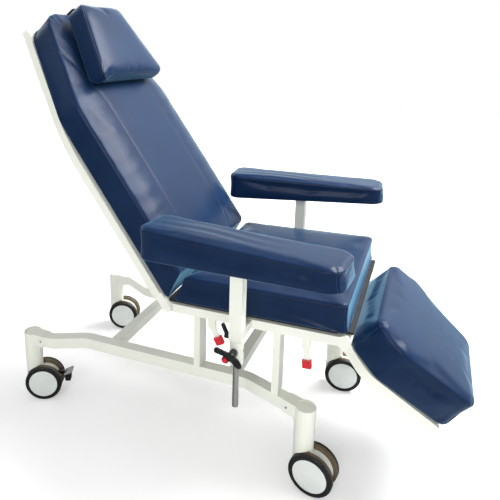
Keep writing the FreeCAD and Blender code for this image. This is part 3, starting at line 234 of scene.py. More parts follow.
zinc = make_metal("bright_zinc", (0.55, 0.55, 0.55), (0.75, 0.75, 0.76), 0.25, (160.0, 160.0, 160.0))
lacquer = make_moulding("black_lacquer", (0.015, 0.015, 0.016), (0.03, 0.03, 0.032), 0.22)

SLOT_FINISH = {
    "frame_paint": paint,
    "vinyl": vinyl,
    "wheel_grey": hub_grey,
    "caster_plastic": casting,
    "stainless": stainless,
    "black_plastic": black_plastic,
    "red_plastic": red_plastic,
    "dark_steel": lacquer,
    "zinc": zinc,
}
NODE_FINISH = {"seat_board": board_cloth, "release_lever_back": paint, "release_lever_leg": paint}
slots = {part["node"]: part["material_slot"] for part in frame["record"]["subparts"]}
for name, node in frame["nodes"].items():
    finish = NODE_FINISH.get(name, SLOT_FINISH[slots[name]])
    node.data.materials.clear()
    node.data.materials.append(finish.material)
print("nodes with a finish", len(slots))

# %% [markdown]
# Each part of the chair has its own axes: the seat slopes a little, the back
# leans at 54 degrees, the leg rest hangs at 39.5, and each armrest turns outwards.
# A cushion is drawn lying flat in its own axes and then carried there by a
# matrix, so its numbers stay the ones that an upholsterer would cut to.

# %% Axes of the seat, back, leg rest and armrests
MIDDLE = 0.650104


def axes(origin, along, across, up):
    """A 4 x 4 matrix from an origin and three directions."""
    matrix = np.eye(4)
    matrix[:3, :4] = np.stack([along, across, up, origin], 1)
    return matrix


def turned(degrees_about, degrees):
    return np.array(Matrix.Rotation(math.radians(degrees), 4, degrees_about))


def moved(x, y, z):
    return np.array(Matrix.Translation((x, y, z)))


def carried(matrix, points):
    return points @ matrix[:3, :3].T + matrix[:3, 3]


SEAT = moved(0.510 - MIDDLE, 0, 0.474) @ turned("Y", -1.9)
BACK_PIVOT = carried(SEAT, np.array([0.023, 0, -0.013]))
LEG_PIVOT = carried(SEAT, np.array([0.522, 0, -0.013]))
lean = math.radians(54)
BACK = axes(BACK_PIVOT, (-math.cos(lean), 0, math.sin(lean)), (0, -1, 0), (math.sin(lean), 0, math.cos(lean)))
LEG = axes(LEG_PIVOT, (1, 0, 0), (0, 1, 0), (0, 0, 1)) @ turned("Y", 39.5)
ARMS = {
    name: moved(0.770 - MIDDLE, side * 0.337, 0.670) @ turned("Z", side * 5) @ turned("Y", -3.3)
    for name, side in (("left", 1), ("right", -1))
}
print("back pivot", BACK_PIVOT.round(4), "leg pivot", LEG_PIVOT.round(4))

# %% [markdown]
# A pad starts as the skin of a box, six grids that meet edge to edge, so that
# its quads stay even and it has no poles. Rounding is then two formulas. Every
# edge is rounded by drawing each point to a fixed distance from a smaller box.
# The corners seen from above are rounded by turning their squares into quarter
# discs. Both are functions of the grid, worked out for all points at once.


# %% The skin of a box
def stations(span, step, edge):
    """Places along a span, from -1 to 1: fine within the rounded edges, a step apart between them."""
    ends = np.array([0, 0.2, 0.45, 0.75, 1.1, 1.6]) * edge
    inner = span - 2 * ends[-1]
    middle = ends[-1] + inner * np.linspace(0, 1, max(3, round(inner / step) + 1))[1:-1]
    return np.concatenate([ends, middle, span - ends[::-1]]) / span * 2 - 1


def box_skin(*lists):
    """The points of a lattice that lie on its outside, and the quads of its six sides."""
    count = [len(values) for values in lists]
    spots = np.stack(np.meshgrid(*(np.arange(n) for n in count), indexing="ij"), -1)
    outside = ((spots == 0) | (spots == np.array(count) - 1)).any(-1)
    number = np.full(count, -1)
    number[outside] = np.arange(outside.sum())
    points = np.stack([values[spots[outside][:, axis]] for axis, values in enumerate(lists)], -1)
    quads = []
    for axis in range(3):
        for end in (0, count[axis] - 1):
            sheet = np.take(number, end, axis)
            quad = np.stack([sheet[:-1, :-1], sheet[1:, :-1], sheet[1:, 1:], sheet[:-1, 1:]], -1)
            quad = quad.reshape(-1, 4)
            outward = (end > 0) != (axis == 1)
            quads.append(quad if outward else quad[:, ::-1])
    return points, np.concatenate(quads)


def round_edges(points, half, radius):
    """Each point moves to a radius from the box that is smaller by that radius on every side."""
    core = np.clip(points, -(half - radius), half - radius)
    away = points - core
    length = np.linalg.norm(away, axis=1, keepdims=True)
    return core + away * radius / np.maximum(length, 1e-9) * (length > 1e-9)


def round_corners(points, half, radii):
    """Seen from above, each corner's square becomes a quarter disc: its square rings turn into arcs."""
    radius = np.where(points[:, 0] < 0, *radii)[:, None]
    core = np.clip(points[:, :2], -(half[:2] - radius), half[:2] - radius)
    away = points[:, :2] - core
    ring = np.abs(away).max(1)
    length = np.linalg.norm(away, axis=1)
    flat = core + away * (ring / np.maximum(length, 1e-9))[:, None]
    return np.column_stack([flat, points[:, 2]])


def narrowed(points, half, width_at, border):
    """The sides follow an outline: a border of even width shifts whole, and the middle is squeezed."""
    points = points.copy()
    shift = (half - width_at(points[:, 0])) * np.clip(np.abs(points[:, 1]) / (half - border), 0, 1)
    points[:, 1] -= np.sign(points[:, 1]) * shift
    return points


def slanted(points, low, high, start, end):
    """Both ends lean: they move along by start and end at the top, and not at all at the bottom."""
    points = points.copy()
    along_share = (points[:, 0] - low[0]) / (high[0] - low[0])
    lift = np.clip((points[:, 2] - low[2]) / (high[2] - low[2]), 0, 1)
    points[:, 0] += lift * (start * (1 - along_share) ** 2 + end * along_share**2)
    return points


def outline(corners, radii, inset=0.0):
    """A closed path inside a polygon whose corners run anticlockwise, with each corner an arc."""
    corners = np.asarray(corners, float)
    into = corners - np.roll(corners, 1, 0)
    into /= np.linalg.norm(into, axis=1, keepdims=True)
    away = np.roll(into, -1, 0)
    left, left_after = into[:, ::-1] * [-1, 1], away[:, ::-1] * [-1, 1]
    spot = corners + (left + left_after) * inset / (1 + (left * left_after).sum(1, keepdims=True))
    radius = np.maximum(np.asarray(radii) - inset, 0.003)[:, None]
    turn = np.arctan2((left * away).sum(1), (into * away).sum(1))[:, None]
    centre = spot + (left - into * np.tan(turn / 2)) * radius
    angle = (turn * np.linspace(0, 1, 9))[:, :, None]
    ring = centre[:, None] - radius[:, None] * (left[:, None] * np.cos(angle) - into[:, None] * np.sin(angle))
    path = ring.reshape(-1, 2)
    return np.vstack([path, path[:1]])


def bell(values, middle, width):
    return np.exp(-(((values - middle) / width) ** 2))


def smooth(values, low, high):
    """0 below low, 1 above high and an S between them."""
    share = np.clip((values - low) / (high - low), 0, 1)
    return share * share * (3 - 2 * share)


# %% [markdown]
# Foam under a tight cover pushes it out, most in the middle of each panel. Cloth
# with an inner pressure does the same, so each pad goes through twenty frames of
# it. Its underside is pinned where it lies on its board, and no point may move
# further than a cap, because this foam is firm and its edges stay crisp.


# %% Inflating a cover
def make_mesh(name, points, quads):
    mesh = bpy.data.meshes.new(name)
    mesh.from_pydata(points.tolist(), [], quads.tolist())
    mesh.validate()
    mesh.update()
    return mesh


def inflated(name, points, quads, held, cap, pressure=4.0):
    """The points after the cover has been blown up a little, each moved by at most the cap."""
    mesh = make_mesh(f"{name}_cloth", points, quads)
    blown = bpy.data.objects.new(f"{name}_cloth", mesh)
    bpy.context.collection.objects.link(blown)
    pins = blown.vertex_groups.new(name="board")
    pins.add(np.flatnonzero(held).tolist(), 1.0, "REPLACE")
    cloth = blown.modifiers.new("cover", "CLOTH")
    cloth.settings.quality = 6
    cloth.settings.mass = 0.3
    cloth.settings.tension_stiffness = 25
    cloth.settings.compression_stiffness = 25
    cloth.settings.shear_stiffness = 12
    cloth.settings.bending_stiffness = 2.0
    cloth.settings.vertex_group_mass = "board"
    cloth.settings.use_pressure = True
    cloth.settings.uniform_pressure_force = pressure
    cloth.settings.effector_weights.gravity = 0
    cloth.point_cache.frame_start = 1
    cloth.point_cache.frame_end = 20
    for step in range(1, 21):
        bpy.context.scene.frame_set(step)
    result = blown.evaluated_get(bpy.context.evaluated_depsgraph_get()).data
    after = np.empty(len(points) * 3, np.float32)
    result.vertices.foreach_get("co", after)
    move = after.reshape(-1, 3) - points
    length = np.linalg.norm(move, axis=1, keepdims=True)
    move *= np.minimum(1, cap / np.maximum(length, 1e-9))
    bpy.data.objects.remove(blown)
    bpy.data.meshes.remove(mesh)
    bpy.context.scene.frame_set(1)
    print(name, "largest move", f"{length.max() * 1000:.1f} mm, capped at {cap * 1000:.0f}")
    return points + move


# %% [markdown]
# Seams pull a cover down into a groove. A groove is a bell curve of the distance
# to the seam's line, taken off each point along its own normal. The seam itself
# is laid in the groove afterwards: its path is dropped on to the finished skin.


# %% Grooves, seams and stitches
def nearness(points, path):
    """Distance from every point to the nearest straight piece of a path."""
    best = np.full(len(points), 1e9)
    for start, end in zip(path, path[1:]):
        way = end - start
        share = np.clip((points - start) @ way / (way @ way), 0, 1)
        best = np.minimum(best, np.linalg.norm(points - start - share[:, None] * way, axis=1))
    return best


def normals_of(points, quads):
    """Vertex normals: each face's normal, by its area, summed over its corners."""
    first, second = points[quads[:, 2]] - points[quads[:, 0]], points[quads[:, 3]] - points[quads[:, 1]]
    face = np.cross(first, second)
    total = np.zeros_like(points)
    for corner in range(4):
        np.add.at(total, quads[:, corner], face)
    return total / np.maximum(np.linalg.norm(total, axis=1, keepdims=True), 1e-12)


def along(path, step):
    """Places a step apart along a path of corner points."""
    path = np.asarray(path, float)
    lengths = np.r_[0, np.cumsum(np.linalg.norm(np.diff(path, axis=0), axis=1))]
    places = np.linspace(0, lengths[-1], max(2, round(lengths[-1] / step) + 1))
    return np.column_stack([np.interp(places, lengths, path[:, axis]) for axis in range(3)])


def on_skin(skin, points):
    """The nearest place of a finished skin to each point of a seam, with the skin's normal there."""
    found = [skin.find_nearest(Vector(point)) for point in points]
    return np.array([tuple(hit[0]) for hit in found]), np.array([tuple(hit[1]) for hit in found])


def tube_points(centres, radius, around, flatten=1.0, up=None):
    """A ring of points about each centre: the ring's plane is square to the path."""
    way = np.gradient(centres, axis=0)
    way /= np.maximum(np.linalg.norm(way, axis=1, keepdims=True), 1e-12)
    lift = np.tile([0.0, 0.0, 1.0], (len(centres), 1)) if up is None else up
    side = np.cross(way, lift)
    side /= np.maximum(np.linalg.norm(side, axis=1, keepdims=True), 1e-12)
    lift = np.cross(side, way)
    angle = np.linspace(0, 2 * np.pi, around, endpoint=False)
    across, rise = np.cos(angle)[None, :, None], flatten * np.sin(angle)[None, :, None]
    ring = across * side[:, None] + rise * lift[:, None]
    return centres[:, None] + np.asarray(radius).reshape(-1, 1, 1) * ring


def tube_quads(rings, around):
    """Quads between neighbouring rings, facing outwards."""
    spot = np.arange(rings * around).reshape(rings, around)
    after = np.roll(spot, -1, axis=1)
    return np.stack([spot[:-1], after[:-1], after[1:], spot[1:]], -1).reshape(-1, 4)


print("helpers ready")


# %% Putting a piece in the scene
def add_piece(name, mesh, finish, body, levels=0):
    piece = bpy.data.objects.new(name, mesh)
    bpy.context.collection.objects.link(piece)
    mesh.materials.append(finish.material)
    mesh.shade_smooth()
    if levels:
        finer = piece.modifiers.new("finer", "SUBSURF")
        finer.levels = finer.render_levels = levels
    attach(piece, body)
    return piece


def closed_tube(centres, radius, around=8, flatten=1.0, up=None):
    """A tube with its ends drawn in to a point: points and faces."""
    centres = np.asarray(centres)
    ends = np.vstack([centres[:1], centres, centres[-1:]])
    lift = None if up is None else np.vstack([up[:1], up, up[-1:]])
    radii = np.r_[1e-5, np.full(len(centres), radius), 1e-5]
    way = np.gradient(centres, axis=0)
    ends[0] -= way[0] / np.linalg.norm(way[0]) * radius * 0.5
    ends[-1] += way[-1] / np.linalg.norm(way[-1]) * radius * 0.5
    rings = tube_points(ends, radii, around, flatten, lift)
    points = rings.reshape(-1, 3)
    quads = tube_quads(len(ends), around)
    return points, quads


def lay_seam(name, skin, path, width, body, matrix, lift=0.0, step=0.004, height=0.6):
    """A flat dark welt that follows a path over a skin."""
    spots, up = on_skin(skin, carried(matrix, along(path, step)))
    spots = spots + up * lift
    points, quads = closed_tube(spots, width / 2, 6, height, up)
    return add_piece(name, make_mesh(name, points, quads), thread, body)


def lay_stitches(name, skin, path, body, matrix, pitch=0.0045, long=0.0030, thick=0.00055):
    """A row of short stitches over a skin: one small closed lozenge, repeated along the path."""
    spots, up = on_skin(skin, carried(matrix, along(path, pitch)))
    way = np.gradient(spots, axis=0)
    way /= np.linalg.norm(way, axis=1, keepdims=True)
    side = np.cross(way, up)
    side /= np.linalg.norm(side, axis=1, keepdims=True)
    angle = np.linspace(0, 2 * np.pi, 6, endpoint=False)
    stages = np.array([[-0.5, 0.05], [-0.36, 0.8], [0, 1.0], [0.36, 0.8], [0.5, 0.05]])
    local = np.stack(
        [
            np.repeat(stages[:, 0] * long, 6),
            np.outer(stages[:, 1], np.cos(angle)).ravel() * thick,
            np.outer(stages[:, 1], np.sin(angle)).ravel() * thick,
        ],
        1,
    )
    points = spots[:, None] + up[:, None] * thick * 0.3 + sum(
        local[None, :, axis, None] * direction[:, None] for axis, direction in enumerate((way, side, up))
    )
    quads = tube_quads(5, 6)
    every = (quads[None] + np.arange(len(spots))[:, None, None] * len(local)).reshape(-1, 4)
    return add_piece(name, make_mesh(name, points.reshape(-1, 3), every), stitch_thread, body)


# %% [markdown]
# One function makes every pad, because they differ only in their numbers: the
# box, the radii, the crown on top, how far the sides draw in, and a last shaping
# of their own, such as the taper of the back or the wedge of an armrest.


# %% One maker for the pads
class Pad:
    def __init__(self, name, node, body, matrix, low, high, edge, corner, step, crown=0.006, waist=0.002,
                 cap=0.005, shape=None, grooves=(), after=None, fill=0.8, squared=2.0):
        low, high = np.array(low), np.array(high)
        half, middle = (high - low) / 2, (high + low) / 2
        box, quads = box_skin(*(stations(2 * h, step, edge) for h in half))
        points = round_edges(box * half, half, edge)
        if corner:
            points = round_corners(points, half, np.broadcast_to(corner, 2))
        u, v, w = (points / half).T
        dome = (1 - np.abs(u) ** squared) * (1 - np.abs(v) ** squared)
        points[:, 2] += crown * dome * smooth(w, 0.2, 1.0)
        flank = 1 - w**2
        rim = smooth(np.abs(np.stack([u, v], 1)), 0.9, 1.0)
        points[:, :2] -= np.sign(points[:, :2]) * waist * flank[:, None] * rim
        points += middle
        if shape:
            points = shape(points)
        held = box[:, 2] < -0.999
        flat = inflated(name, points, quads, held, cap)
        if grooves:
            normal = normals_of(flat, quads)
            for path, width, depth in grooves:
                flat = flat - normal * (depth * bell(nearness(flat, np.asarray(path)), 0, width))[:, None]
        if after:
            flat = after(flat, normals_of(flat, quads))
        piece = add_piece(name, make_mesh(name, carried(matrix, flat), quads), vinyl, body, levels=1)
        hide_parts(node)
        self.matrix, self.body = matrix, body
        evaluated = piece.evaluated_get(bpy.context.evaluated_depsgraph_get())
        self.skin = BVHTree.FromPolygons(*self.evaluated_faces(evaluated.data))
        print(name, len(quads) * 4, "quads")

    @staticmethod
    def evaluated_faces(mesh):
        points = np.empty(len(mesh.vertices) * 3, np.float32)
        mesh.vertices.foreach_get("co", points)
        corners = np.empty(len(mesh.loops), np.int32)
        mesh.loops.foreach_get("vertex_index", corners)
        return points.reshape(-1, 3).tolist(), corners.reshape(-1, 4).tolist()

    def seam(self, name, path, width=0.0022, lift=-0.0002, height=0.6):
        return lay_seam(name, self.skin, path, width, self.body, self.matrix, lift, height=height)

    def stitches(self, name, path, **sizes):
        return lay_stitches(name, self.skin, path, self.body, self.matrix, **sizes)


# %% [markdown]
# The back is one long pad. It keeps its width for two thirds of its length and
# then tapers to the head. Two seams run up its face and turn out along the taper
# to the edge, and the front panel is joined to the side band by a seam that is
# double stitched where it shows most, along the taper and over the top.

# %% The back pad
BACK_LOW, BACK_TURN, BACK_HIGH = 0.021, 0.636, 0.977
BACK_HALF, BACK_TOP_HALF = 0.278, 0.158
BACK_FLOOR, BACK_FACE = 0.0126, 0.0985
back_box = (BACK_LOW, -BACK_HALF, BACK_FLOOR), (BACK_HIGH, BACK_HALF, BACK_FACE)
back_corners = np.array(
    [(BACK_LOW + 0.044, -BACK_HALF), (BACK_TURN, -BACK_HALF), (BACK_HIGH + 0.007, -BACK_TOP_HALF),
     (BACK_HIGH + 0.007, BACK_TOP_HALF), (BACK_TURN, BACK_HALF), (BACK_LOW + 0.044, BACK_HALF)]
)
back_radii = np.array([0.014, 0.10, 0.062, 0.062, 0.10, 0.014])


def back_half(x):
    """Half the back's width at a place along it, with the bend of the taper rounded."""
    past = x - BACK_TURN
    slope = (BACK_HALF - BACK_TOP_HALF) / (BACK_HIGH - BACK_TURN)
    return BACK_HALF - slope * (past + np.sqrt(past**2 + 0.016**2)) / 2


def shape_back(points):
    return slanted(narrowed(points, BACK_HALF, back_half, 0.09), *back_box, 0.047, 0.008)


BACK_PUCKERS = (
    (0.19, 0.018, 1.0), (0.27, 0.013, 0.8), (0.33, 0.020, 1.2), (0.40, 0.012, 0.7),
    (0.455, 0.017, 1.1), (0.53, 0.020, 1.3), (0.60, 0.014, 0.8), (0.67, 0.018, 0.7),
)


def pucker_back(points, normal):
    """Soft puckers across the side strips, where the cover is pulled round the foam, and over the top."""
    x, y, z = points.T
    inside = 1 - smooth(np.abs(y), back_half(x) - 0.03, back_half(x))
    strip = smooth(np.abs(y), 0.155, 0.19) * inside * (z > 0.08)
    ripple = np.zeros(len(points))
    for place, width, height in BACK_PUCKERS:
        ripple += height * bell(x + 0.12 * (np.abs(y) - 0.2) * np.sign(y), place, width)
    wave = 0.0014 * ripple * strip
    top = bell(x, 0.955, 0.025) * (z > 0.08) * np.sin(y * 260 + np.sin(y * 90)) * 0.0011
    return points + normal * (wave + top)[:, None]


seam_paths = {}
for side_name, side in (("left", -1), ("right", 1)):
    seam_paths[side_name] = np.array(
        [(0.070, side * 0.147, 0.105), (0.30, side * 0.148, 0.113), (0.617, side * 0.147, 0.112),
         (0.749, side * 0.173, 0.110), (0.836, side * 0.200, 0.098)]
    )
rim = outline(back_corners, back_radii, 0.003)
back_rim = np.column_stack([rim, np.full(len(rim), BACK_FACE - 0.005)])
back_pad = Pad(
    "back_pad", "back_cushion", "back_rest", BACK, *back_box, 0.011, (0.016, 0.062), 0.008,
    crown=0.014, cap=0.005, shape=shape_back, after=pucker_back, squared=5.0,
    grooves=[(path, 0.005, 0.0030) for path in seam_paths.values()] + [(back_rim, 0.0035, 0.0012)],
)
for side_name, path in seam_paths.items():
    back_pad.seam(f"back_seam_{side_name}", path, width=0.0030)
back_pad.seam("back_edge_seam", back_rim, width=0.0018)
for side_name, way in (("left", -1), ("right", 1)):
    upper = along(back_rim, 0.002)
    upper = upper[(upper[:, 0] > BACK_TURN + 0.01) & (upper[:, 1] * way > 0)]
    upper = upper[np.argsort(upper[:, 0] - np.abs(upper[:, 1]))]
    back_pad.stitches(f"back_face_stitches_{side_name}", upper * [1, 0.955, 1] + [-0.004, 0, 0.010])
    back_pad.stitches(f"back_band_stitches_{side_name}", upper * [1, 1.04, 1] + [0.004, 0, -0.006])

# %% [markdown]
# The seat pad lies flat on its board. Its rear end slopes away so that the back
# can swing over it.

# %% The seat pad
SEAT_TOP = 0.0911
seat_box = (0.032, -0.276, 0.0122), (0.534, 0.276, SEAT_TOP)
seat_pad = Pad(
    "seat_pad", "seat_cushion", "root", SEAT, *seat_box, 0.011, 0.020, 0.009, crown=0.006, cap=0.005,
    shape=lambda points: slanted(points, *seat_box, 0.038, 0.0), squared=4.0, waist=0.003,
)
seat_corners = [(0.068, -0.276), (0.534, -0.276), (0.534, 0.276), (0.068, 0.276)]
rim = outline(seat_corners, [0.02] * 4, 0.001)
seat_pad.seam("seat_edge_seam", np.column_stack([rim, np.full(len(rim), SEAT_TOP - 0.006)]), width=0.0016)

# %% [markdown]
# The leg rest widens below the knees and narrows to the feet.

# %% The leg rest pad
LEG_FLOOR, LEG_FACE, LEG_HALF = -0.024, 0.084, 0.246
leg_box = (0.024, -LEG_HALF, LEG_FLOOR), (0.354, LEG_HALF, LEG_FACE)


def leg_half(x):
    return np.interp(x, [0.024, 0.105, 0.122, 0.139, 0.354], [0.212, 0.2395, 0.2435, 0.2400, 0.168])


leg_pad = Pad(
    "leg_pad", "leg_cushion", "leg_rest", LEG, *leg_box, 0.014, (0.030, 0.034), 0.008, crown=0.007,
    cap=0.005, shape=lambda points: narrowed(points, LEG_HALF, leg_half, 0.08), squared=3.0, waist=0.002,
)
leg_side = [(0.024, 0.212), (0.122, 0.246), (0.354, 0.168)]
leg_corners = [(x, -y) for x, y in leg_side] + leg_side[::-1]
leg_rim = outline(leg_corners, [0.026, 0.06, 0.030, 0.030, 0.06, 0.026], 0.0005)
leg_rim = np.column_stack([leg_rim, np.full(len(leg_rim), LEG_FACE - 0.008)])
leg_pad.seam("leg_edge_seam", leg_rim, width=0.0016)

# %% [markdown]
# The head pillow is a block with rounded ends, wider below. One long strip of
# vinyl wraps its face, ends and back, and a gusset closes each side with a seam
# all round.

# %% The head pillow
PILLOW = BACK @ moved(0.682, 0, 0.1198) @ turned("Y", -3.4)
PILLOW_ON_SIDE = PILLOW @ axes((0.1355, 0, 0.0305), (1, 0, 0), (0, 0, 1), (0, -1, 0))
pillow_half = np.array([0.1355, 0.0305, 0.190])
pillow_corners = [(-0.1355, -0.190), (0.1355, -0.105), (0.1355, 0.105), (-0.1355, 0.190)]
pillow_plan = outline(pillow_corners, [0.022, 0.05, 0.05, 0.022])
plan_side = pillow_plan[pillow_plan[:, 1] > 0]
plan_side = plan_side[np.argsort(plan_side[:, 0])]


def fit_pillow(points):
    """The wrap follows the tapered plan and is crowned over its foam."""
    points = points.copy()
    share = np.abs(points[:, 2]) / pillow_half[2]
    dome = (1 - np.abs(points[:, 0] / pillow_half[0]) ** 4) * (1 - share**4)
    points[:, 1] += 0.012 * smooth(points[:, 1], 0.0, 0.030) * dome
    points[:, 2] *= np.interp(points[:, 0], *plan_side.T) / pillow_half[2]
    return points


gusset_round = 0.026
corner_angles = np.radians(np.arange(0, 91, 15))
quarter = np.column_stack([np.cos(corner_angles), np.sin(corner_angles)]) * gusset_round
inner_corner = pillow_half[:2] - gusset_round
loop = np.vstack([quarter + inner_corner, (quarter * [-1, 1])[::-1] + inner_corner * [-1, 1],
                  quarter * [-1, -1] - inner_corner, (quarter * [1, -1])[::-1] + inner_corner * [1, -1]])
loop = along(np.column_stack([np.vstack([loop, loop[:1]]), np.zeros(len(loop) + 1)]), 0.004)
edge_width = np.interp(loop[:, 0], *plan_side.T) - 0.0015
pillow_loops = {
    name: np.column_stack([loop[:, :2], side * edge_width]) for name, side in (("left", -1), ("right", 1))
}
head_pad = Pad(
    "head_pad", "head_pillow", "headrest", PILLOW_ON_SIDE, -pillow_half, pillow_half, 0.004, gusset_round,
    0.006, crown=0.0, cap=0.003, shape=fit_pillow, waist=0.0, squared=4.0,
    grooves=[(path, 0.003, 0.0016) for path in pillow_loops.values()],
)
for side_name, path in pillow_loops.items():
    head_pad.seam(f"head_piping_{side_name}", path, width=0.0034, lift=0.0002, height=1.0)
    head_pad.stitches(f"head_stitches_{side_name}", path * [0.955, 0.85, 1.02])

# %% [markdown]
# Each armrest pad is a long wedge, thicker at the elbow. Its vinyl is loose on
# top and has gathered into long wrinkles near the elbow.

# %% The armrest pads
ARM_BACK, ARM_FRONT, ARM_HALF, ARM_OUT = -0.265, 0.284, 0.076, 0.010
ARM_THICK, ARM_TIP, ARM_CORNER = 0.088, 0.052, 0.042


def thinning(x):
    """The share of the elbow's thickness that is left at a place along the pad."""
    return 1 + (x - ARM_BACK) / (ARM_FRONT - ARM_BACK) * (ARM_TIP / ARM_THICK - 1)


def wedge(points):
    """Thickness falls evenly from the elbow to the hand."""
    points = points.copy()
    points[:, 2] *= thinning(points[:, 0])
    return points


ARM_FOLDS = (
    (-0.045, 0.004, 0.9), (-0.026, 0.005, -0.8), (-0.008, 0.004, 1.0),
    (0.012, 0.005, -0.7), (0.030, 0.004, 0.8), (0.048, 0.005, -0.6),
)


def wrinkle_arm(points, normal):
    """Long shallow folds side by side, which wander a little and fade out towards the hand."""
    x, y, z = points.T
    top = smooth(z, 0.045, 0.06) * (1 - smooth(x, -0.02, 0.16)) * smooth(x, -0.255, -0.18)
    bend = y + 0.006 * np.sin(x * 21) + 0.03 * x
    folds = sum(height * bell(bend, place, width) for place, width, height in ARM_FOLDS)
    return points + normal * (0.0012 * folds * top)[:, None]


for side_name, side in (("left", 1), ("right", -1)):
    out = side * ARM_OUT
    pad = Pad(
        f"arm_pad_{side_name}", f"armrest_pad_{side_name}", f"armrest_{side_name}", ARMS[side_name],
        (ARM_BACK, out - ARM_HALF, 0.0), (ARM_FRONT, out + ARM_HALF, ARM_THICK), 0.010, ARM_CORNER, 0.0065,
        crown=0.004, cap=0.004, shape=wedge, after=wrinkle_arm, squared=4.0, waist=0.002,
    )
    low, high = out - ARM_HALF, out + ARM_HALF
    arm_corners = [(ARM_BACK, low), (ARM_FRONT, low), (ARM_FRONT, high), (ARM_BACK, high)]
    rim = outline(arm_corners, [ARM_CORNER] * 4, 0.001)
    height = (ARM_THICK - 0.008) * thinning(rim[:, 0])
    pad.seam(f"arm_seam_{side_name}", np.column_stack([rim, height]), width=0.0016)

# %% [markdown]
# A wheel is two mouldings: a grey hub with a domed face, and a black tyre with a
# brownish tread. Both are profiles turned about the axle, so one lathe makes them.

# %% Wheels
WHEEL_RADIUS = 0.0625


def lathe(profile, around=72):
    """A profile of (radius, along) points turned about Y. The first and last lie on the axis or meet."""
    profile = np.asarray(profile)
    angle = np.linspace(0, 2 * np.pi, around, endpoint=False)
    place = np.broadcast_to(profile[:, 1:], (len(profile), around))
    points = np.stack([profile[:, :1] * np.cos(angle), place, profile[:, :1] * np.sin(angle)], -1)
    return points.reshape(-1, 3), tube_quads(len(profile), around)


def arc(centre, radius, start, end, count=6):
    angle = np.radians(np.linspace(start, end, count))
    return np.column_stack([centre[0] + radius * np.cos(angle), centre[1] + radius * np.sin(angle)])


hub_profile = np.vstack([
    [(1e-5, 0.0380), (0.008, 0.03797), (0.016, 0.0378), (0.026, 0.0374), (0.036, 0.0367), (0.0430, 0.0361)],
    [(0.0440, 0.0357), (0.0446, 0.0357), (0.0455, 0.0361), (0.0478, 0.0359), (0.0488, 0.0353)],
    [(0.0490, 0.0344), (0.0470, 0.0330), (0.0459, 0.0310), (0.0458, 0.0142), (0.0440, 0.0137)],
    [(0.030, 0.0137), (0.0285, 0.0150), (0.012, 0.0150), (0.010, 0.0137), (1e-5, 0.0137)],
])
tyre_profile = np.vstack([
    [(0.0461, 0.0330), (0.0485, 0.0356)],
    arc((0.0535, 0.0300), 0.0065, 110, 60, 5), arc((0.0555, 0.0300), 0.0070, 50, 0, 6),
    [(0.0625, 0.0262), (0.0615, 0.0254), (0.0461, 0.0250), (0.0461, 0.0330)],
])
tread_profile = np.vstack([
    [(0.0461, 0.0248), (0.0612, 0.0250), (0.0622, 0.0243)],
    [(0.0625, 0.0225), (0.0618, 0.0216), (0.0618, 0.0206)],
    arc((0.0565, 0.0195), 0.0060, 5, -75, 7), [(0.0500, 0.0138), (0.0461, 0.0140), (0.0461, 0.0248)],
])
CORNERS = {
    "rear_left": (0, 0.262, 18), "rear_right": (0, -0.262, 26),
    "front_left": (0.942, 0.244, 8), "front_right": (0.942, -0.244, -8),
}
WHEEL_LAYERS = (
    ("hub", hub_profile, hub_grey), ("tyre", tyre_profile, tyre_black), ("tread", tread_profile, tread_brown),
)
for corner, (x, y, yaw) in CORNERS.items():
    castor = moved(x - MIDDLE, y, 0) @ turned("Z", yaw) @ moved(0.033, 0, WHEEL_RADIUS)
    for side_name, turn in (("left", 0), ("right", 180)):
        place = castor @ turned("Z", turn)
        body = f"wheel_{corner}_{side_name}"
        for kind, profile, finish in WHEEL_LAYERS:
            points, quads = lathe(profile)
            name = f"{kind}_{corner}_{side_name}"
            mesh = make_mesh(name, carried(place, points), quads)
            piece = add_piece(name, mesh, finish, body)
            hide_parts(body)
print("wheels", len(CORNERS) * 2)

# %% [markdown]
# The small mouldings are rounded boxes and turned bars: the red caps pushed over
# the two release levers, the brake pedal with its ribbed tread, and the winged
# handle that clamps each armrest post, with a domed red button in its face.


# %% Caps, pedal and handles
def soft_box(name, size, radius, place, finish, body, slot, replaced=None, shape=None):
    """A box with rounded edges, its middle at the place, shaped further by a function of its points."""
    half = np.array(size) / 2
    grid, quads = box_skin(*(stations(2 * h, 0.0025, radius) for h in half))
    points = round_edges(grid * half, half, radius)
    if shape:
        points = shape(points)
    piece = add_piece(name, make_mesh(name, carried(place, points), quads), finish, body, levels=1)
    if replaced:
        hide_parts(replaced)
    return piece


def turned_bar(name, profile, place, finish, body, slot, replaced, flatten=(1.0, 1.0)):
    """A turned bar, flattened across if wanted, whose own Y points along the place's Y."""
    points, quads = lathe(profile[::-1], 40)
    points = points * [flatten[0], 1, flatten[1]]
    piece = add_piece(name, make_mesh(name, carried(place, points), quads), finish, body)
    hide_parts(replaced)
    return piece


def tapered_down(points):
    """Narrower towards the bottom, as a moulding that leaves its tool."""
    low, high = points[:, 2].min(), points[:, 2].max()
    width = 0.78 + 0.22 * (points[:, 2] - low) / (high - low)
    return points * np.column_stack([width, width, np.ones(len(points))])


for name, along_seat, long, lean_back in (("back", 0.150, 0.050, 27), ("leg", 0.422, 0.056, 3)):
    lever = SEAT @ moved(along_seat, -0.245, -0.058) @ turned("Y", -lean_back)
    soft_box(f"lever_cap_{name}", (0.0250, 0.0142, 0.0250), 0.0022, lever @ moved(0, 0, 0.0045 - long),
             red_plastic, f"release_lever_{name}", "red_plastic")

pedal = moved(-MIDDLE, -0.262, 0) @ turned("Z", 26)
PEDAL = "brake_pedal", "black_plastic", "brake_pedal"
soft_box("pedal_arm", (0.050, 0.006, 0.012), 0.0015, pedal @ moved(0.087, 0, 0.085), black_plastic, *PEDAL)
soft_box("pedal_body", (0.024, 0.030, 0.034), 0.004, pedal @ moved(0.1135, 0, 0.073), black_plastic, *PEDAL,
         tapered_down)


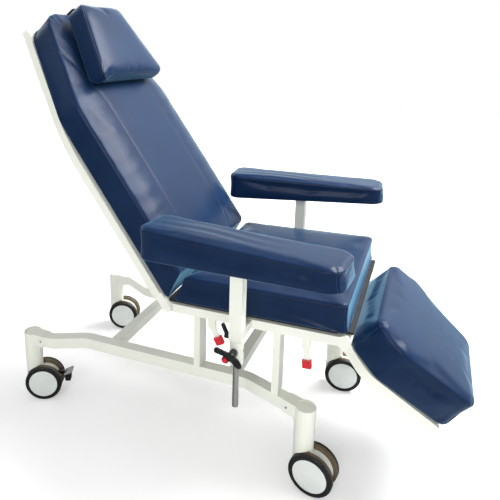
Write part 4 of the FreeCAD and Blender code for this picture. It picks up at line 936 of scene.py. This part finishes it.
def ribbed(points):
    """Six ribs across the top of the tread."""
    rib = 0.0007 * np.cos(points[:, 1] * 2 * np.pi / 0.0056) * (points[:, 2] > 0)
    return points + np.column_stack([np.zeros((len(points), 2)), rib])


tread_place = pedal @ moved(0.1165, 0, 0.0905) @ turned("Y", -22)
soft_box("pedal_tread", (0.030, 0.035, 0.006), 0.0022, tread_place, pedal_grey, *PEDAL, ribbed)

# %% [markdown]
# The clamp handle is a turned hub with two wings: a long one, ringed with fine
# ribs, to the upper rear, and a short lens, flattened, that points down and
# forwards. The red button sits in a black ring beside the hub.

# %% Clamp handles
rib_places = np.linspace(0.006, 0.040, 48)
rib_waves = 0.0005 * np.cos(rib_places * 2 * np.pi / 0.0043)
rib_radii = 0.0071 + rib_waves + 0.0006 * smooth(rib_places, 0.02, 0.04)
long_wing = np.vstack([
    [(1e-5, 0.0)], np.column_stack([rib_radii, rib_places]),
    arc((0.0, 0.0410), 0.0077, 10, 85, 7), [(1e-5, 0.0488)],
])
short_wing = [
    (1e-5, 0.0), (0.0085, 0.002), (0.0092, 0.010), (0.0098, 0.018), (0.0092, 0.026), (0.0074, 0.033),
    (0.0040, 0.0372), (1e-5, 0.0385),
]
clamp_hub = [
    (1e-5, 0.0), (0.0098, 0.0), (0.0108, 0.001), (0.0112, 0.008), (0.0118, 0.020), (0.0120, 0.027),
    (0.0112, 0.0292), (0.0090, 0.0300), (1e-5, 0.0302),
]
button = [
    (1e-5, -0.005), (0.0068, -0.005), (0.0069, 0.0022), (0.0064, 0.0034), (0.0048, 0.0042),
    (0.0024, 0.0046), (1e-5, 0.0047),
]
button_ring = [
    (0.0074, -0.012), (0.0094, -0.012), (0.0095, -0.0012), (0.0086, 0.0004), (0.0076, -0.0006),
    (0.0074, -0.012),
]
WINGS = ("long", long_wing, 169, (1, 1)), ("short", short_wing, 314, (0.72, 1.1))
for side_name, side in (("left", 1), ("right", -1)):
    body = f"clamp_lever_{side_name}"
    to_side = turned("Z", 0 if side > 0 else 180)
    post = moved(0.770 - MIDDLE, side * 0.337, 0.431)
    black = black_plastic, body, "black_plastic", body
    turned_bar(f"clamp_hub_{side_name}", clamp_hub, post @ to_side @ moved(0, 0.0193, 0), *black)
    for kind, profile, angle, flatten in WINGS:
        place = post @ moved(0, side * 0.0415, 0) @ turned("Y", -angle) @ turned("Z", -90)
        turned_bar(f"clamp_{kind}_{side_name}", profile, place, *black, flatten)
    spot = post @ moved(-0.014, side * 0.0493, -0.010) @ to_side
    cap_body = f"clamp_button_{side_name}"
    turned_bar(f"button_cap_{side_name}", button, spot, red_plastic, cap_body, "red_plastic", cap_body)
    turned_bar(f"button_ring_{side_name}", button_ring, spot, *black)
print("small mouldings ready")

# %% [markdown]
# The camera stands where the photographer stood: a little in front of the chair,
# above the right armrest and looking down at it. Its lens is shifted, because the
# photograph is a crop of a wider picture.

# %% Camera
yaw, pitch, roll = (math.radians(angle) for angle in (25.0, 13.0, 0.29))
ahead = np.array([-math.sin(yaw) * math.cos(pitch), math.cos(yaw) * math.cos(pitch), -math.sin(pitch)])
right = np.cross(ahead, [0, 0, 1])
right /= np.linalg.norm(right)
above = np.cross(right, ahead)
level_right, level_above = right, above
right = level_right * math.cos(roll) + level_above * math.sin(roll)
above = level_above * math.cos(roll) - level_right * math.sin(roll)
lens = bpy.data.cameras.new("camera")
PICTURE, FILM = 500, 36
FOCAL_PIXELS, CENTRE_X, CENTRE_Y = 519, 191, 166
lens.lens = FOCAL_PIXELS / PICTURE * FILM
lens.shift_x = (PICTURE / 2 - CENTRE_X) / PICTURE
lens.shift_y = (CENTRE_Y - PICTURE / 2) / PICTURE
lens.clip_end = 60
camera = bpy.data.objects.new("camera", lens)
camera.matrix_world = Matrix(axes((1.1773 - MIDDLE, -1.501, 1.208), right, above, -ahead).tolist())
bpy.context.collection.objects.link(camera)
bpy.context.scene.camera = camera

# %% [markdown]
# A soft studio: one wide lamp high above and behind, a dimmer one in front, and
# a pale world that lights from all sides. The camera sees the world at full
# white. Gloss sees it white behind the chair and dimmer in front, as a room is
# behind the person who takes a picture, and it sees a darker floor, so that the
# sides of the cushions stay deep. The floor keeps the shadow: a faint glow, only
# for the camera and stronger far away, lifts it to white.


# %% Lamps, floor and world
def soft_lamp(name, place, target, width, power):
    lamp = bpy.data.lights.new(name, "AREA")
    lamp.shape = "DISK"
    lamp.size = width
    lamp.energy = power
    holder = bpy.data.objects.new(name, lamp)
    holder.location = place
    holder.rotation_euler = (Vector(target) - Vector(place)).to_track_quat("-Z", "Y").to_euler()
    bpy.context.collection.objects.link(holder)


soft_lamp("lamp_above", (1.6, 1.2, 3.2), (0, 0, 0.6), 2.6, 230)
soft_lamp("lamp_front", (0.4, -4.2, 2.6), (0, 0, 0.5), 1.6, 60)

floor_finish = Finish("pale_floor", Roughness=0.9, Specular_IOR_Level=0.1)
seen = floor_finish.add("ShaderNodeLightPath", output="Is Camera Ray")
LENGTH = {"operation": "LENGTH"}
distance = floor_finish.add("ShaderNodeVectorMath", LENGTH, {0: floor_finish.place()}, output=1)
glow = floor_finish.span(distance, 0.8, 3.0, 0.30, 0.8) * seen
mirrored = floor_finish.add("ShaderNodeLightPath", output="Is Glossy Ray")
tone = floor_finish.ramp(mirrored, 0.0, 1.0, (colour(0.86, 0.86, 0.86), colour(0.30, 0.31, 0.33)))
floor_finish.set(Base_Color=tone, Emission_Color=glow, Emission_Strength=1.0)
floor_mesh = bpy.data.meshes.new("floor")
floor_mesh.from_pydata([(-9, -9, 0), (9, -9, 0), (9, 9, 0), (-9, 9, 0)], [], [(0, 1, 2, 3)])
floor_mesh.materials.append(floor_finish.material)
floor = bpy.data.objects.new("floor", floor_mesh)
bpy.context.collection.objects.link(floor)

AMBIENT = 0.55
world = bpy.data.worlds.new("studio")
world.use_nodes = True
bpy.context.scene.world = world
nodes, links = world.node_tree.nodes, world.node_tree.links


def world_node(kind, settings=None, sockets=None):
    """A node of the world: its settings, and the values or links of its sockets."""
    node = nodes.new(kind)
    for name, value in (settings or {}).items():
        setattr(node, name, value)
    for name, value in (sockets or {}).items():
        if isinstance(value, bpy.types.NodeSocket):
            links.new(value, node.inputs[name])
        else:
            node.inputs[name].default_value = value
    return node


def world_math(operation, first, second):
    return world_node("ShaderNodeMath", {"operation": operation}, {0: first, 1: second}).outputs[0]


ray = world_node("ShaderNodeLightPath").outputs
direction = world_node("ShaderNodeTexCoord").outputs["Generated"]
way = world_node("ShaderNodeSeparateXYZ", {}, {"Vector": direction})
fade = {"Value": way.outputs["Y"], "From Min": -0.5, "From Max": 0.4, "To Min": 0.25}
behind = world_node("ShaderNodeMapRange", {}, fade).outputs[0]
direct = world_math("MAXIMUM", ray["Is Camera Ray"], ray["Is Transmission Ray"])
reflected = world_math("MULTIPLY", ray["Is Glossy Ray"], behind)
brightness = world_math("MAXIMUM", direct, reflected)
is_seen = world_math("MAXIMUM", direct, ray["Is Glossy Ray"])
choice = {"Factor": is_seen, "A": AMBIENT, "B": brightness}
level = world_node("ShaderNodeMix", {"data_type": "FLOAT"}, choice)
background = nodes["Background"]
links.new(level.outputs[0], background.inputs["Strength"])
background.inputs["Color"].default_value = colour(1, 1, 1)
bpy.context.scene.view_settings.view_transform = "Standard"
